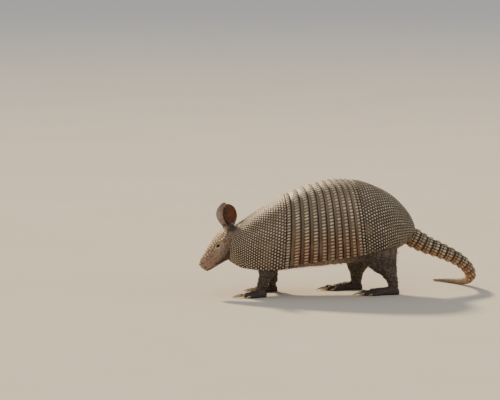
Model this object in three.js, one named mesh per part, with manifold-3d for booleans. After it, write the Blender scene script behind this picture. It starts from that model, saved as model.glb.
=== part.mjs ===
// A nine-banded armadillo, life size, walking with its snout to the ground: a still museum model.
// Millimetres, +Z up. The head points to -X, the tail to +X, and -Y is the animal's left side.
import * as THREE from "three";
import Module from "manifold-3d";
import { mergeVertices } from "three/addons/utils/BufferGeometryUtils.js";

const wasm = await Module();
wasm.setup();

// ---- Driving dimensions ----
const CLEARANCE = 0.35; // between neighbouring solids
const PLATE = 2.4; // thickness of the horny, bony shell
const SHINGLE = 1.5; // how far each band's rear edge stands over the next one's front
const BANDS = 9;
const FLESH_DEPTH = PLATE + SHINGLE + 1.1; // from the shell's outside to the flesh
const RIM_ANGLE = THREE.MathUtils.degToRad(118); // from the back's midline round to the shell's lower rim
const SQUARENESS = 0.9; // under 1 fills out the shoulders of the shell's arch
const ARCH_STEPS = 18; // facets round one arch of the shell
// The trunk's sections along X, each with how much further it lies inside the shell than the others.
const TRUNK = [
  [-150, 9], [-132, 0], [-110, 0], [-88, 0], [-66, 0], [-43, 0], [-20, 0], [3, 0], [26, 0], [50, 0],
  [73, 0], [95, 0.4], [113, 1], [127, 2.2], [138, 6.5],
];

// The body's outside along X, each a smooth curve through [x, value].
const backHeight = smooth([
  [-192, 110], [-158, 135], [-115, 163], [-78, 183.5], [-36, 198.6], [14, 207.3],
  [47, 204.2], [89, 189.4], [112, 176], [131, 158.5], [145, 140], [154, 121],
]);
const widestHeight = smooth([[-192, 88], [-118, 95], [-30, 102], [68, 108], [128, 111], [154, 112]]);
const halfWidth = smooth([
  [-192, 47], [-158, 54], [-118, 63], [-78, 69.5], [-30, 75], [18, 77.5], [62, 76.5], [98, 68], [126, 52.5],
  [142, 39], [150, 28.5], [154, 20],
]);
const rimHeight = smooth([
  [-192, 66], [-166, 53], [-128, 49], [-90, 51], [-76, 57], [-13, 66], [36, 72.5], [64, 78],
  [85, 83.5], [103, 87.5], [125, 94], [138, 101], [154, 108],
]);
const bellyHeight = smooth([[-150, 58], [-100, 50], [-20, 53], [60, 60], [100, 70], [150, 96]]);

// A plate's edge runs from the back's midline at top to the lower rim at rim. A bow over 1 carries the
// edge's sides forward early, as at the collar, and the lap is how far it follows the rim itself.
const COLLAR = { top: -157, rim: -191, bow: 3, lap: 1 };
const SHOULDER_EDGE = { top: -78, rim: -86, bow: 1, lap: 1 };
const HIP_EDGE = { top: 29, rim: 48, bow: 1, lap: 1 };
const RUMP = { top: 153, rim: 84, bow: 1, lap: 3.2 };
const BAND_NARROWING = 0.045; // each band is this much narrower than the one before it

const TAIL = {
  path: [
    [131, 0, 108], [154, 0, 96.5], [174, 0, 85.3], [197, 0, 75.5], [224, 0, 63], [242, 3, 52], [256, 11, 39],
    [265, 26, 25.5], [266.5, 47, 14.6], [262, 71, 8], [252, 96, 5.6], [238, 118, 4.2], [220, 138, 2.4],
  ],
  radius: smooth([
    [0, 13], [0.04, 17.4], [0.1, 17.2], [0.17, 15.6], [0.35, 12.6], [0.6, 8.8], [0.85, 5.4], [1, 2.6],
  ]),
  rings: 12,
  ringLength: 14.6,
  flare: 1.1,
  sides: 12,
};

const HEAD = {
  tip: [-236.5, 0, 52.5], // centre of the snout's end
  pitch: THREE.MathUtils.degToRad(45), // below the horizontal
  yaw: THREE.MathUtils.degToRad(10), // towards the animal's left
  neck: [-168, 0, 110], // the point it turns about, and the head group's place
  // [distance back from the snout's end, up, down, half width] of each section
  sections: [
    [0, 7.4, 8.6, 7.8], [2.5, 9.4, 10.8, 9.6], [10, 11.2, 12.6, 10.8], [20, 13, 15.6, 12.6],
    [31, 15.2, 19.4, 15.4], [42, 17.4, 23.4, 19], [54, 19, 26.6, 21.8], [66, 19.6, 28.4, 23.4],
    [78, 18.6, 28.6, 23.4], [88, 15.4, 26, 20], [96, 10.5, 21, 15],
  ],
  sides: 16,
  squareness: 0.92,
};
const EYE = { back: 44.5, up: 10.4, radius: 4.2, sunk: 2.2 };
const SHIELD = {
  from: 24, to: 82, halfAngle: 54, gap: 1.2, thickness: 1.3,
  outline: smooth([[0, 0.55], [0.3, 0.8], [0.6, 1], [0.8, 0.86], [1, 0.24]]),
};
const EAR = {
  back: 86, up: 15.5, side: 9.6, length: 43, thickness: 1.7,
  lean: 7, splay: 9, turn: 10, // degrees: forwards, outwards, and the opening towards the front
  rollRadius: smooth([[0, 5], [0.25, 9.6], [0.6, 14.6], [0.85, 13.6], [1, 10]]),
  halfRoll: smooth([[0, 150], [0.25, 110], [0.6, 80], [0.85, 58], [0.96, 32], [1, 12]]),
  rows: 8,
  columns: 7,
};
// The neck's sections from the shoulders forwards: [x, z, half height, half width].
const NECK = [
  [-150.6, 92, 39, 43], [-158, 92, 37.5, 41], [-166, 92, 34, 37], [-174, 92, 29.5, 31], [-179, 92.5, 26, 26],
];

// Each leg as horizontal sections from the top down: [x, y, z, half length, half width], for the left side.
const HIND_LEG = {
  near: [
    [82, -38, 92, 34, 19], [81, -41, 74, 35, 19], [82, -42, 60, 33, 17.5], [90, -42.5, 46, 24.5, 14.5],
    [102, -43, 34, 13.6, 11.5], [106.5, -43, 22, 9.8, 9.6], [107, -43, 13, 10.2, 10],
  ],
  far: [
    [76, -38, 92, 33, 19], [71, -41, 74, 33, 19], [65, -42, 60, 31, 17.5], [60, -42.5, 46, 24, 14.5],
    [57.5, -43, 34, 14.2, 11.5], [57, -43, 22, 9.8, 9.6], [57, -43, 13, 10.2, 10],
  ],
};
const FORE_LEG = {
  near: [
    [-122, -36, 84, 27, 17], [-119, -38, 66, 25, 16], [-118, -39, 52, 20, 14], [-124, -39.5, 38, 13.4, 11.6],
    [-130, -40, 25, 10.4, 10.2], [-133, -40, 14, 9.6, 10.6],
  ],
  far: [
    [-116, -36, 84, 27, 17], [-111, -38, 66, 25, 16], [-106, -39, 52, 20, 14], [-101, -39.5, 38, 13.4, 11.6],
    [-98, -40, 25, 10.4, 10.2], [-98, -40, 14, 9.6, 10.6],
  ],
};
// A foot is measured from under its ankle. Sections are [forwards, half width, height], and each toe is
// [forwards, sideways (outwards), turned outwards in degrees, toe length, toe radius, claw length].
const HIND_FOOT = {
  leg: "hind_leg", name: "hind_foot", claw: "hind_claw",
  sections: [
    [-11, 6, 9], [-6.5, 9.4, 14], [6, 10.8, 16.5], [20, 11.6, 14],
    [33, 13.4, 12.4], [42, 13.2, 10.6], [45.5, 11.4, 8],
  ],
  toes: [
    [32, -12.4, -16, 11, 3.5, 10], [41, -8.2, -6, 13, 4.3, 15], [44, 0, 0, 14, 4.6, 17],
    [41, 8.2, 6, 12.5, 4.2, 14], [31, 12.6, 16, 10, 3.4, 9],
  ],
};
const FORE_FOOT = {
  leg: "fore_leg", name: "fore_foot", claw: "fore_claw",
  sections: [[-9.5, 5, 8], [-6, 9.2, 12.5], [4, 11.4, 14], [14, 12.6, 12.4], [20, 12, 10.4], [23, 10.2, 8]],
  toes: [
    [14, -11, -17, 8.5, 3.5, 10], [20.5, -4.8, -5, 10.5, 4.7, 21], [20.5, 4.8, 5, 10.5, 4.8, 22],
    [14, 11.4, 18, 8, 3.4, 10],
  ],
};
const CLAW_DROOP = 0.55; // of its length, that a claw's curve falls below a straight line

// [colour, roughness]
const FINISHES = {
  shell: [0x8b7a66, 0.62], headShield: [0x93806d, 0.6], skin: [0x5d4d45, 0.75], ear: [0x6b5148, 0.6],
  claw: [0xb9a88c, 0.4], eye: [0x0c0a09, 0.08], tail: [0x87765f, 0.62],
};

// ---- Curves and solids ----

// A smooth curve through [place, value] pairs that makes no bumps of its own.
function smooth(pairs) {
  const slopes = pairs.slice(1).map(([x, v], i) => (v - pairs[i][1]) / (x - pairs[i][0]));
  const tangent = pairs.map((_, i) => {
    const before = slopes[i - 1] ?? slopes[0];
    const after = slopes[i] ?? slopes[slopes.length - 1];
    return before * after <= 0 ? 0 : (2 * before * after) / (before + after);
  });
  return (x) => {
    const last = pairs.length - 2;
    let i = pairs.findIndex(([px]) => px > x) - 1;
    i = i < -1 ? last : Math.max(0, Math.min(last, i));
    const [[x0, v0], [x1, v1]] = [pairs[i], pairs[i + 1]];
    const h = x1 - x0;
    const t = THREE.MathUtils.clamp((x - x0) / h, 0, 1);
    return (
      v0 * (1 + 2 * t) * (1 - t) ** 2 + tangent[i] * h * t * (1 - t) ** 2 +
      v1 * t * t * (3 - 2 * t) + tangent[i + 1] * h * t * t * (t - 1)
    );
  };
}

const vector = (list) => new THREE.Vector3(...list);
const signedPower = (value, power) => Math.sign(value) * Math.abs(value) ** power;

function geometryOf(points, faces) {
  const geometry = new THREE.BufferGeometry();
  const places = points.flatMap((p) => p.toArray());
  geometry.setAttribute("position", new THREE.Float32BufferAttribute(places, 3));
  geometry.setIndex(faces.flat());
  return geometry;
}

// Joins closed rings of equal size into one solid, each end closed by a fan.
function ringSolid(rings) {
  const n = rings[0].length;
  const points = rings.flat();
  const faces = [];
  for (let r = 0; r < rings.length - 1; r++)
    for (let i = 0; i < n; i++) {
      const [a, b] = [r * n + i, r * n + ((i + 1) % n)];
      faces.push([a, b, b + n], [a, b + n, a + n]);
    }
  for (const [r, turn] of [[0, 1], [rings.length - 1, 0]]) {
    const centre = rings[r].reduce((sum, p) => sum.add(p), new THREE.Vector3()).divideScalar(n);
    points.push(centre);
    for (let i = 0; i < n; i++) {
      const [a, b] = [r * n + i, r * n + ((i + 1) % n)];
      faces.push(turn ? [points.length - 1, b, a] : [points.length - 1, a, b]);
    }
  }
  return outward(geometryOf(points, faces));
}

// Closes an outer and an inner sheet of the same grid into one plate.
function plateSolid(outer, inner) {
  const [rows, columns] = [outer.length, outer[0].length];
  const points = [...outer.flat(), ...inner.flat()];
  const at = (sheet, r, c) => sheet * rows * columns + r * columns + c;
  const faces = [];
  const quad = (a, b, c, d) => faces.push([a, b, c], [a, c, d]);
  for (let r = 0; r < rows - 1; r++)
    for (let c = 0; c < columns - 1; c++) {
      quad(at(0, r, c), at(0, r, c + 1), at(0, r + 1, c + 1), at(0, r + 1, c));
      quad(at(1, r, c), at(1, r + 1, c), at(1, r + 1, c + 1), at(1, r, c + 1));
    }
  for (let c = 0; c < columns - 1; c++) {
    quad(at(0, 0, c), at(1, 0, c), at(1, 0, c + 1), at(0, 0, c + 1));
    quad(at(0, rows - 1, c), at(0, rows - 1, c + 1), at(1, rows - 1, c + 1), at(1, rows - 1, c));
  }
  for (let r = 0; r < rows - 1; r++) {
    quad(at(0, r, 0), at(0, r + 1, 0), at(1, r + 1, 0), at(1, r, 0));
    quad(at(0, r, columns - 1), at(1, r, columns - 1), at(1, r + 1, columns - 1), at(0, r + 1, columns - 1));
  }
  return outward(geometryOf(points, faces));
}

function signedVolume(geometry) {
  const p = geometry.attributes.position;
  const [a, b, c] = [new THREE.Vector3(), new THREE.Vector3(), new THREE.Vector3()];
  let sum = 0;
  for (let i = 0; i < geometry.index.count; i += 3) {
    a.fromBufferAttribute(p, geometry.index.getX(i));
    b.fromBufferAttribute(p, geometry.index.getX(i + 1));
    c.fromBufferAttribute(p, geometry.index.getX(i + 2));
    sum += a.dot(b.cross(c)) / 6;
  }
  return sum;
}

// Turns a solid's faces round if they point inwards.
function outward(geometry) {
  if (signedVolume(geometry) > 0) return geometry;
  const turned = [];
  const index = geometry.index.array;
  for (let i = 0; i < index.length; i += 3) turned.push(index[i], index[i + 2], index[i + 1]);
  geometry.setIndex(turned);
  return geometry;
}

function toSolid(geometry) {
  const bare = geometry.clone();
  for (const name of ["normal", "uv"]) bare.deleteAttribute(name);
  const merged = mergeVertices(bare, 1e-3);
  return new wasm.Manifold(new wasm.Mesh({
    numProp: 3,
    vertProperties: merged.attributes.position.array,
    triVerts: new Uint32Array(merged.index.array),
  }));
}

function toGeometry(solid) {
  const mesh = solid.getMesh();
  const geometry = new THREE.BufferGeometry();
  geometry.setAttribute("position", new THREE.BufferAttribute(Float32Array.from(mesh.vertProperties), 3));
  geometry.setIndex(Array.from(mesh.triVerts));
  return geometry;
}

const cut = (geometry, ...tools) =>
  toGeometry(tools.reduce((solid, tool) => solid.subtract(toSolid(tool)), toSolid(geometry)));
const join = (...pieces) =>
  toGeometry(pieces.map(toSolid).reduce((solid, piece) => solid.add(piece)));

// ---- The shell and the trunk inside it ----

// A point of the body's outside: x along it, angle round from the back's midline (negative on the left),
// and lift outwards along its surface.
function bodyPoint(x, angle, lift = 0) {
  const turn = Math.abs(angle);
  const [widest, half] = [widestHeight(x), halfWidth(x) + lift];
  const drop = turn <= Math.PI / 2
    ? backHeight(x) - widest + lift
    : (widest - rimHeight(x)) / -Math.cos(RIM_ANGLE);
  return new THREE.Vector3(
    x,
    Math.sign(angle) * half * Math.sin(turn) ** SQUARENESS,
    widest + drop * signedPower(Math.cos(turn), turn <= Math.PI / 2 ? SQUARENESS : 1),
  );
}

// The shell's surface between two plate edges: share 0..1 from one edge to the other, around -1..1 from
// the left rim over the back to the right rim.
function shellPoint(from, to, share, around, lift) {
  const mix = (key) => THREE.MathUtils.lerp(from[key], to[key], share);
  const way = Math.abs(around);
  const along = 1 - (1 - way) ** mix("bow");
  const [forwards, down] = [along ** mix("lap"), 1 - (1 - way) ** mix("lap")];
  const x = THREE.MathUtils.lerp(mix("top"), mix("rim"), forwards);
  return bodyPoint(x, Math.sign(around) * down * RIM_ANGLE, lift);
}

// A plate of the shell as rows of points. lifts gives [share, lift] of its outside from front to rear.
function shellPlate(from, to, lifts, rows) {
  const liftAt = smooth(lifts);
  const sheet = (depth) =>
    Array.from({ length: rows + 1 }, (_, r) =>
      Array.from({ length: ARCH_STEPS + 1 }, (_, c) =>
        shellPoint(from, to, r / rows, (2 * c) / ARCH_STEPS - 1, liftAt(r / rows) - depth)));
  return plateSolid(sheet(0), sheet(PLATE));
}

// The edge between two bands, counted from the shoulder shield, moved back by a small gap.
function bandEdge(count, gap = 0) {
  const span = (n) => n * (1 - (BAND_NARROWING * (n - 1)) / 2);
  const share = span(count) / span(BANDS);
  const between = (key) => THREE.MathUtils.lerp(SHOULDER_EDGE[key], HIP_EDGE[key], share);
  return { top: between("top") + gap, rim: between("rim") + gap, bow: 1, lap: 1 };
}

// The flesh inside the shell, closed below by the belly, grown by a clearance where it cuts a leg.
function trunkSolid(grown = 0) {
  const [arch, belly] = [14, 8];
  const rings = TRUNK.map(([x, inset], station) => {
    const depth = FLESH_DEPTH + inset - grown;
    const over = Array.from({ length: arch + 1 }, (_, i) =>
      bodyPoint(x, RIM_ANGLE * ((2 * i) / arch - 1), -depth));
    const rim = over[0];
    const low = Math.min(bellyHeight(x), rim.z - 1);
    const under = Array.from({ length: belly - 1 }, (_, i) => {
      const turn = (Math.PI * (i + 1)) / belly;
      const fall = grown + (rim.z - low) * Math.sin(turn) ** 0.8;
      return new THREE.Vector3(x, -rim.y * Math.cos(turn), rim.z - fall);
    });
    const ring = [...over, ...under];
    if (station === 0) ring.forEach((p) => (p.x -= grown));
    return ring;
  });
  return ringSolid(rings);
}

// ---- Tail ----

const tailLine = new THREE.CatmullRomCurve3(TAIL.path.map(vector), false, "centripetal");
const tailLength = tailLine.getLength();

// A section of the tail at a distance from its root. No point lies under the floor.
function tailRing(distance, extra = 0) {
  const share = distance / tailLength;
  const at = tailLine.getPointAt(share);
  const forward = tailLine.getTangentAt(share);
  const side = new THREE.Vector3().crossVectors(forward, new THREE.Vector3(0, 0, 1)).normalize();
  const up = new THREE.Vector3().crossVectors(side, forward);
  const radius = TAIL.radius(share) + extra;
  return Array.from({ length: TAIL.sides }, (_, i) => {
    const turn = (2 * Math.PI * (i + 0.5)) / TAIL.sides;
    const p = at.clone().addScaledVector(side, radius * Math.cos(turn));
    p.addScaledVector(up, radius * Math.sin(turn));
    p.z = Math.max(p.z, 0);
    return p;
  });
}

function tailRingSolid(index) {
  const [from, to] = [index * TAIL.ringLength, (index + 1) * TAIL.ringLength - CLEARANCE];
  return ringSolid([tailRing(from, -0.4), tailRing(to - 3, TAIL.flare), tailRing(to, TAIL.flare * 0.8)]);
}

// A little more than the space of the tail's root, to cut the trunk with.
function tailRoom() {
  const spare = [4, TAIL.flare, TAIL.flare];
  return ringSolid(spare.map((extra, i) => tailRing((i * TAIL.ringLength) / 2, 2 * CLEARANCE + extra)));
}

function tailEndSolid() {
  const from = TAIL.rings * TAIL.ringLength;
  const steps = 9;
  return ringSolid(Array.from({ length: steps + 1 }, (_, i) =>
    tailRing(Math.min(from + ((tailLength - from) * i) / steps, tailLength - 0.01), i === 0 ? -0.3 : 0)));
}

// ---- Head ----

const snoutTip = vector(HEAD.tip).sub(vector(HEAD.neck));
const headForward = new THREE.Vector3(-Math.cos(HEAD.pitch), 0, -Math.sin(HEAD.pitch));
const headUp = new THREE.Vector3(-Math.sin(HEAD.pitch), 0, Math.cos(HEAD.pitch));
const [headRise, headDrop, headHalf] = [1, 2, 3].map((k) => smooth(HEAD.sections.map((s) => [s[0], s[k]])));

// The middle of the head, in the head group, at a distance back from the snout's end, moved sideways and up.
function headPlace(back, side = 0, up = 0) {
  const place = snoutTip.clone().addScaledVector(headForward, -back).addScaledVector(headUp, up);
  place.y += side;
  return place;
}

// A point of the head's skin: turn is the angle from straight up, negative on the left.
function headPoint(back, turn, lift = 0) {
  const rise = Math.cos(turn) >= 0 ? headRise(back) : headDrop(back);
  return headPlace(
    back,
    (headHalf(back) + lift) * signedPower(Math.sin(turn), HEAD.squareness),
    (rise + lift) * signedPower(Math.cos(turn), HEAD.squareness),
  );
}

function headSolid(lift = 0) {
  const rings = HEAD.sections.map(([back]) =>
    Array.from({ length: HEAD.sides }, (_, i) => headPoint(back, (2 * Math.PI * i) / HEAD.sides, lift)));
  return ringSolid(rings);
}

// The angle from straight up at which the skin is this far above the head's axis.
const turnAtHeight = (back, up) => Math.acos((up / headRise(back)) ** (1 / HEAD.squareness));

function eyeCentre(side) {
  return headPoint(EYE.back, side * turnAtHeight(EYE.back, EYE.up), -EYE.sunk);
}

// The bony plate of the forehead, narrow on the snout and rounded behind.
function headShieldSolid() {
  const [rows, columns] = [6, 6];
  const share = (r) => r / rows;
  const sheet = (lift) =>
    Array.from({ length: rows + 1 }, (_, r) => {
      const back = THREE.MathUtils.lerp(SHIELD.from, SHIELD.to, share(r));
      const wide = THREE.MathUtils.degToRad(SHIELD.halfAngle) * SHIELD.outline(share(r));
      return Array.from({ length: columns + 1 }, (_, c) =>
        headPoint(back, wide * ((2 * c) / columns - 1), lift));
    });
  return plateSolid(sheet(SHIELD.gap + SHIELD.thickness), sheet(SHIELD.gap));
}

// An ear is a rolled leaf that stands on its narrow foot and opens sideways.
function earSolid(side) {
  const sheet = (depth) =>
    Array.from({ length: EAR.rows + 1 }, (_, r) => {
      const share = r / EAR.rows;
      const roll = THREE.MathUtils.degToRad(EAR.halfRoll(share));
      const radius = EAR.rollRadius(share) - depth;
      const hollow = EAR.rollRadius(share) * (1 - share * 0.55);
      return Array.from({ length: EAR.columns + 1 }, (_, c) => {
        const turn = roll * ((2 * c) / EAR.columns - 1);
        return new THREE.Vector3(radius * Math.sin(turn), radius * Math.cos(turn) - hollow, EAR.length * share);
      });
    });
  const angle = THREE.MathUtils.degToRad;
  const opening = side < 0 ? -angle(EAR.turn) : Math.PI + angle(EAR.turn);
  const stance = new THREE.Euler(-side * angle(EAR.splay), -angle(EAR.lean), opening, "XYZ");
  return plateSolid(sheet(0), sheet(EAR.thickness))
    .applyMatrix4(new THREE.Matrix4().makeRotationFromEuler(stance))
    .translate(...headPlace(EAR.back, side * EAR.side, EAR.up).toArray());
}

// ---- Legs ----

function legSolid(sections, side, ...tools) {
  const sides = 10;
  const rings = sections.map(([x, y, z, long, wide]) =>
    Array.from({ length: sides }, (_, i) => {
      const turn = (2 * Math.PI * i) / sides;
      return new THREE.Vector3(x + long * Math.cos(turn), -side * y + wide * Math.sin(turn), z);
    }));
  return cut(ringSolid(rings), ...tools);
}

const FOOT_SIDES = 8;

// A ring across a foot or toe that runs forwards (to -X), flat underneath at the floor.
function flatRing(x, y, half, height, lowest = 0) {
  return Array.from({ length: FOOT_SIDES }, (_, i) => {
    const turn = (2 * Math.PI * (i + 0.5)) / FOOT_SIDES;
    const z = lowest + (height - lowest) * (0.38 + 0.62 * Math.sin(turn));
    return new THREE.Vector3(x, y + half * Math.cos(turn), Math.max(lowest, z));
  });
}

function toeSolid([forwards, sideways, turned, length, radius]) {
  const lengths = [-6, 0.8 * length, length];
  const sizes = [0.94, 1, 0.74];
  return ringSolid(lengths.map((x, i) => flatRing(-x, 0, radius * sizes[i], 2.1 * radius * sizes[i])))
    .rotateZ(THREE.MathUtils.degToRad(turned))
    .translate(-forwards, -sideways, 0);
}

function clawSolid([, , , length, radius, claw]) {
  const steps = 3;
  const start = length + CLEARANCE;
  const rings = Array.from({ length: steps + 1 }, (_, s) => {
    const t = s / steps;
    const size = radius * 0.66 * (1 - 0.86 * t ** 1.3);
    const middle = Math.max(radius * 1.02 - radius * CLAW_DROOP * t * t * 1.5, size * 0.8);
    return Array.from({ length: 6 }, (_, i) => {
      const turn = (Math.PI * (i + 0.5)) / 3;
      const z = Math.max(0, middle + size * Math.sin(turn));
      return new THREE.Vector3(-(start + claw * t), size * 0.8 * Math.cos(turn), z);
    });
  });
  return ringSolid(rings);
}

function footSolid(sections, toes) {
  const sole = ringSolid(sections.map(([forwards, half, height]) => flatRing(-forwards, 0, half, height)));
  return join(sole, ...toes.map(toeSolid));
}

// A foot a little larger all round, to cut its leg with.
function grown(geometry) {
  geometry.computeBoundingBox();
  const centre = geometry.boundingBox.getCenter(new THREE.Vector3());
  const size = geometry.boundingBox.getSize(new THREE.Vector3());
  const factor = (length) => (length + 2 * CLEARANCE) / length;
  return geometry.clone()
    .translate(-centre.x, -centre.y, 0)
    .scale(factor(size.x), factor(size.y), factor(size.z))
    .translate(centre.x, centre.y, 0);
}

function neckSolid(...tools) {
  const sides = 14;
  const rings = NECK.map(([x, z, high, wide]) =>
    Array.from({ length: sides }, (_, i) => {
      const turn = (2 * Math.PI * i) / sides;
      return new THREE.Vector3(x, wide * Math.sin(turn), z + high * Math.cos(turn));
    }));
  return cut(ringSolid(rings), ...tools);
}

// ---- Assembly ----

const armadillo = new THREE.Group();

function addMesh(name, geometry, finish, parent = armadillo) {
  const [color, roughness] = FINISHES[finish];
  const mesh = new THREE.Mesh(geometry, new THREE.MeshStandardMaterial({ color, roughness, metalness: 0 }));
  mesh.name = name;
  parent.add(mesh);
  return mesh;
}

function addGroup(x, y, z) {
  const group = new THREE.Group();
  group.position.set(x, y, z);
  armadillo.add(group);
  return group;
}

function addShell() {
  const flush = [[0, 0], [1, 0]];
  const stepped = [[0, -SHINGLE], [1, 0]];
  addMesh("shoulder_shield", shellPlate(COLLAR, SHOULDER_EDGE, flush, 6), "shell");
  for (let band = 1; band <= BANDS; band++)
    addMesh(`band_${band}`, shellPlate(bandEdge(band - 1, CLEARANCE), bandEdge(band), stepped, 1), "shell");
  const front = { ...HIP_EDGE, top: HIP_EDGE.top + CLEARANCE, rim: HIP_EDGE.rim + CLEARANCE };
  addMesh("hip_shield", shellPlate(front, RUMP, [[0, -SHINGLE], [0.12, -0.3], [0.3, 0], [1, 0]], 9), "shell");
}

function addTail() {
  for (let ring = 0; ring < TAIL.rings; ring++)
    addMesh(`tail_ring_${ring + 1}`, tailRingSolid(ring), "tail");
  addMesh("tail_end", tailEndSolid(), "tail");
}

function addHead() {
  const head = addGroup(...HEAD.neck);
  head.rotation.z = HEAD.yaw;
  head.updateMatrixWorld();
  const eyeball = (side, radius) =>
    new THREE.SphereGeometry(radius, 10, 8).translate(...eyeCentre(side).toArray());
  const sockets = [-1, 1].map((side) => eyeball(side, EYE.radius + CLEARANCE));
  addMesh("head", cut(headSolid(), ...sockets), "skin", head);
  addMesh("head_shield", headShieldSolid(), "headShield", head);
  for (const [side, name] of [[-1, "left"], [1, "right"]]) {
    addMesh(`eye_${name}`, eyeball(side, EYE.radius), "eye", head);
    addMesh(`ear_${name}`, cut(earSolid(side), headSolid(CLEARANCE)), "ear", head);
  }
  addMesh("neck", neckSolid(headSolid(CLEARANCE).applyMatrix4(head.matrixWorld)), "skin");
}

// A leg, its foot and its claws. side is -1 on the animal's left and 1 on its right.
function addLeg(name, side, sections, foot) {
  const [ankleX, ankleY] = sections[sections.length - 1];
  const toes = foot.toes.map(([forwards, sideways, turned, ...sizes]) =>
    [forwards, -side * sideways, -side * turned, ...sizes]);
  const group = addGroup(ankleX, -side * ankleY, 0);
  const solid = footSolid(foot.sections, toes);
  addMesh(`${foot.name}_${name}`, solid, "skin", group);
  toes.forEach((toe, i) => {
    const claw = addMesh(`${foot.claw}_${name}_${i + 1}`, clawSolid(toe), "claw", group);
    claw.position.set(-toe[0], -toe[1], 0);
    claw.rotation.z = THREE.MathUtils.degToRad(toe[2]);
  });
  const footRoom = grown(solid).translate(group.position.x, group.position.y, 0);
  addMesh(`${foot.leg}_${name}`, legSolid(sections, side, trunkSolid(2 * CLEARANCE), footRoom), "skin");
}

addShell();
addMesh("trunk", cut(trunkSolid(), tailRoom()), "skin");
addTail();
addHead();
addLeg("left", -1, FORE_LEG.near, FORE_FOOT);
addLeg("right", 1, FORE_LEG.far, FORE_FOOT);
addLeg("left", -1, HIND_LEG.near, HIND_FOOT);
addLeg("right", 1, HIND_LEG.far, HIND_FOOT);

// The origin is the middle of the part's footprint, on the floor.
const middle = new THREE.Box3().setFromObject(armadillo, true).getCenter(new THREE.Vector3());
armadillo.position.set(-middle.x, -middle.y, 0);

export default armadillo;
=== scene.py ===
import math

import bpy
import numpy as np
from mathutils import Matrix, Vector
from mathutils.kdtree import KDTree


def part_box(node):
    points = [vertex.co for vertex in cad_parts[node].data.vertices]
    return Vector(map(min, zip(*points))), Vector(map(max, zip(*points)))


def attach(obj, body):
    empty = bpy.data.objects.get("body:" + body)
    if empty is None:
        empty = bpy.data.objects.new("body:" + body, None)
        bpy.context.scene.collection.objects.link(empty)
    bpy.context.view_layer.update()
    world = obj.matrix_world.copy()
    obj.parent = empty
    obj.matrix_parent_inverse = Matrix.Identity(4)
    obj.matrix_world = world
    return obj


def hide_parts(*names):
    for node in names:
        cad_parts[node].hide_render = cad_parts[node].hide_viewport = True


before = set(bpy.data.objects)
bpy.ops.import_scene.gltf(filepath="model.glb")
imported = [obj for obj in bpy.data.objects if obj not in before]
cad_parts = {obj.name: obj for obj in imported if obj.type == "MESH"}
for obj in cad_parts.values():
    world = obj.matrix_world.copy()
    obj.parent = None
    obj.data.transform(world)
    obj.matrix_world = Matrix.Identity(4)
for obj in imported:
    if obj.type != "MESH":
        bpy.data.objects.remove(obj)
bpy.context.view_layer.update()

dice = np.random.default_rng(9)

# A nine-banded armadillo, walking with its snout to the ground. The shell's curves are in mm,
# with -X towards the head and -Y the animal's left; onPart turns them into metres of the frame.
mm = 0.001
frameShift = np.array([-17.5033, -31.1225, 0.0])


def onPart(points):
    return (points + frameShift) * mm


def clearSelection():
    if bpy.context.mode != "OBJECT":
        bpy.ops.object.mode_set(mode="OBJECT")
    bpy.ops.object.select_all(action="DESELECT")


def pick(*pieces):
    clearSelection()
    for piece in pieces:
        piece.select_set(True)
    bpy.context.view_layer.objects.active = pieces[-1]


def renamed(piece, name):
    piece.name = piece.data.name = name
    return piece


# The primitive that was just added, with its place put into its mesh.
def justMade(name):
    bpy.ops.object.transform_apply(location=True, rotation=True, scale=True)
    return renamed(bpy.context.active_object, name)


def modify(piece, kind, **settings):
    pick(piece)
    bpy.ops.object.modifier_add(type=kind)
    modifier = piece.modifiers[-1]
    for key, value in settings.items():
        setattr(modifier, key, value)
    bpy.ops.object.modifier_apply(modifier=modifier.name)


def repeat(piece, count, offset):
    modify(piece, "ARRAY", count=count, use_relative_offset=False, use_constant_offset=True,
           constant_offset_displace=offset, use_merge_vertices=True, merge_threshold=0.01)


def subdivided(piece, levels):
    modify(piece, "SUBSURF", levels=levels, render_levels=levels)


def joined(name, pieces):
    pick(*pieces)
    bpy.ops.object.join()
    return renamed(bpy.context.active_object, name)


def editMode(piece):
    pick(piece)
    bpy.ops.object.mode_set(mode="EDIT")


def editAll(piece):
    editMode(piece)
    bpy.ops.mesh.select_all(action="SELECT")


# Opens the piece for editing with only the rim of its open sides selected.
def editRim(piece, kind="EDGE"):
    editMode(piece)
    bpy.ops.mesh.select_all(action="DESELECT")
    bpy.ops.mesh.select_mode(type=kind)
    bpy.ops.mesh.select_non_manifold()


def objectMode():
    bpy.ops.object.mode_set(mode="OBJECT")


def mergeDoubles(piece, distance):
    editAll(piece)
    bpy.ops.mesh.remove_doubles(threshold=distance)
    objectMode()


def read(items, key, width=1):
    values = np.empty(len(items) * width)
    items.foreach_get(key, values)
    return values.reshape(-1, width) if width > 1 else values


def coordsOf(piece):
    return read(piece.data.vertices, "co", 3)


# Places in mm, in the frame of the shell's curves.
def mmPlaces(piece):
    return coordsOf(piece) / mm - frameShift


def normalsOf(piece):
    return read(piece.data.vertices, "normal", 3)


def setCoords(piece, places):
    piece.data.vertices.foreach_set("co", np.ascontiguousarray(places, dtype=np.float32).ravel())
    piece.data.update()


def selectFaces(piece, wanted):
    mesh = piece.data
    mesh.vertices.foreach_set("select", np.zeros(len(mesh.vertices), bool))
    mesh.edges.foreach_set("select", np.zeros(len(mesh.edges), bool))
    mesh.polygons.foreach_set("select", wanted)
    bpy.context.tool_settings.mesh_select_mode = (False, False, True)


def dress(piece, material):
    piece.data.materials.clear()
    piece.data.materials.append(material)
    pick(piece)
    bpy.ops.object.shade_smooth()


def setAttribute(piece, name, values, domain="POINT"):
    layer = piece.data.attributes.get(name) or piece.data.attributes.new(name, "FLOAT", domain)
    layer.data.foreach_set("value", np.asarray(values, np.float32))


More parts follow.
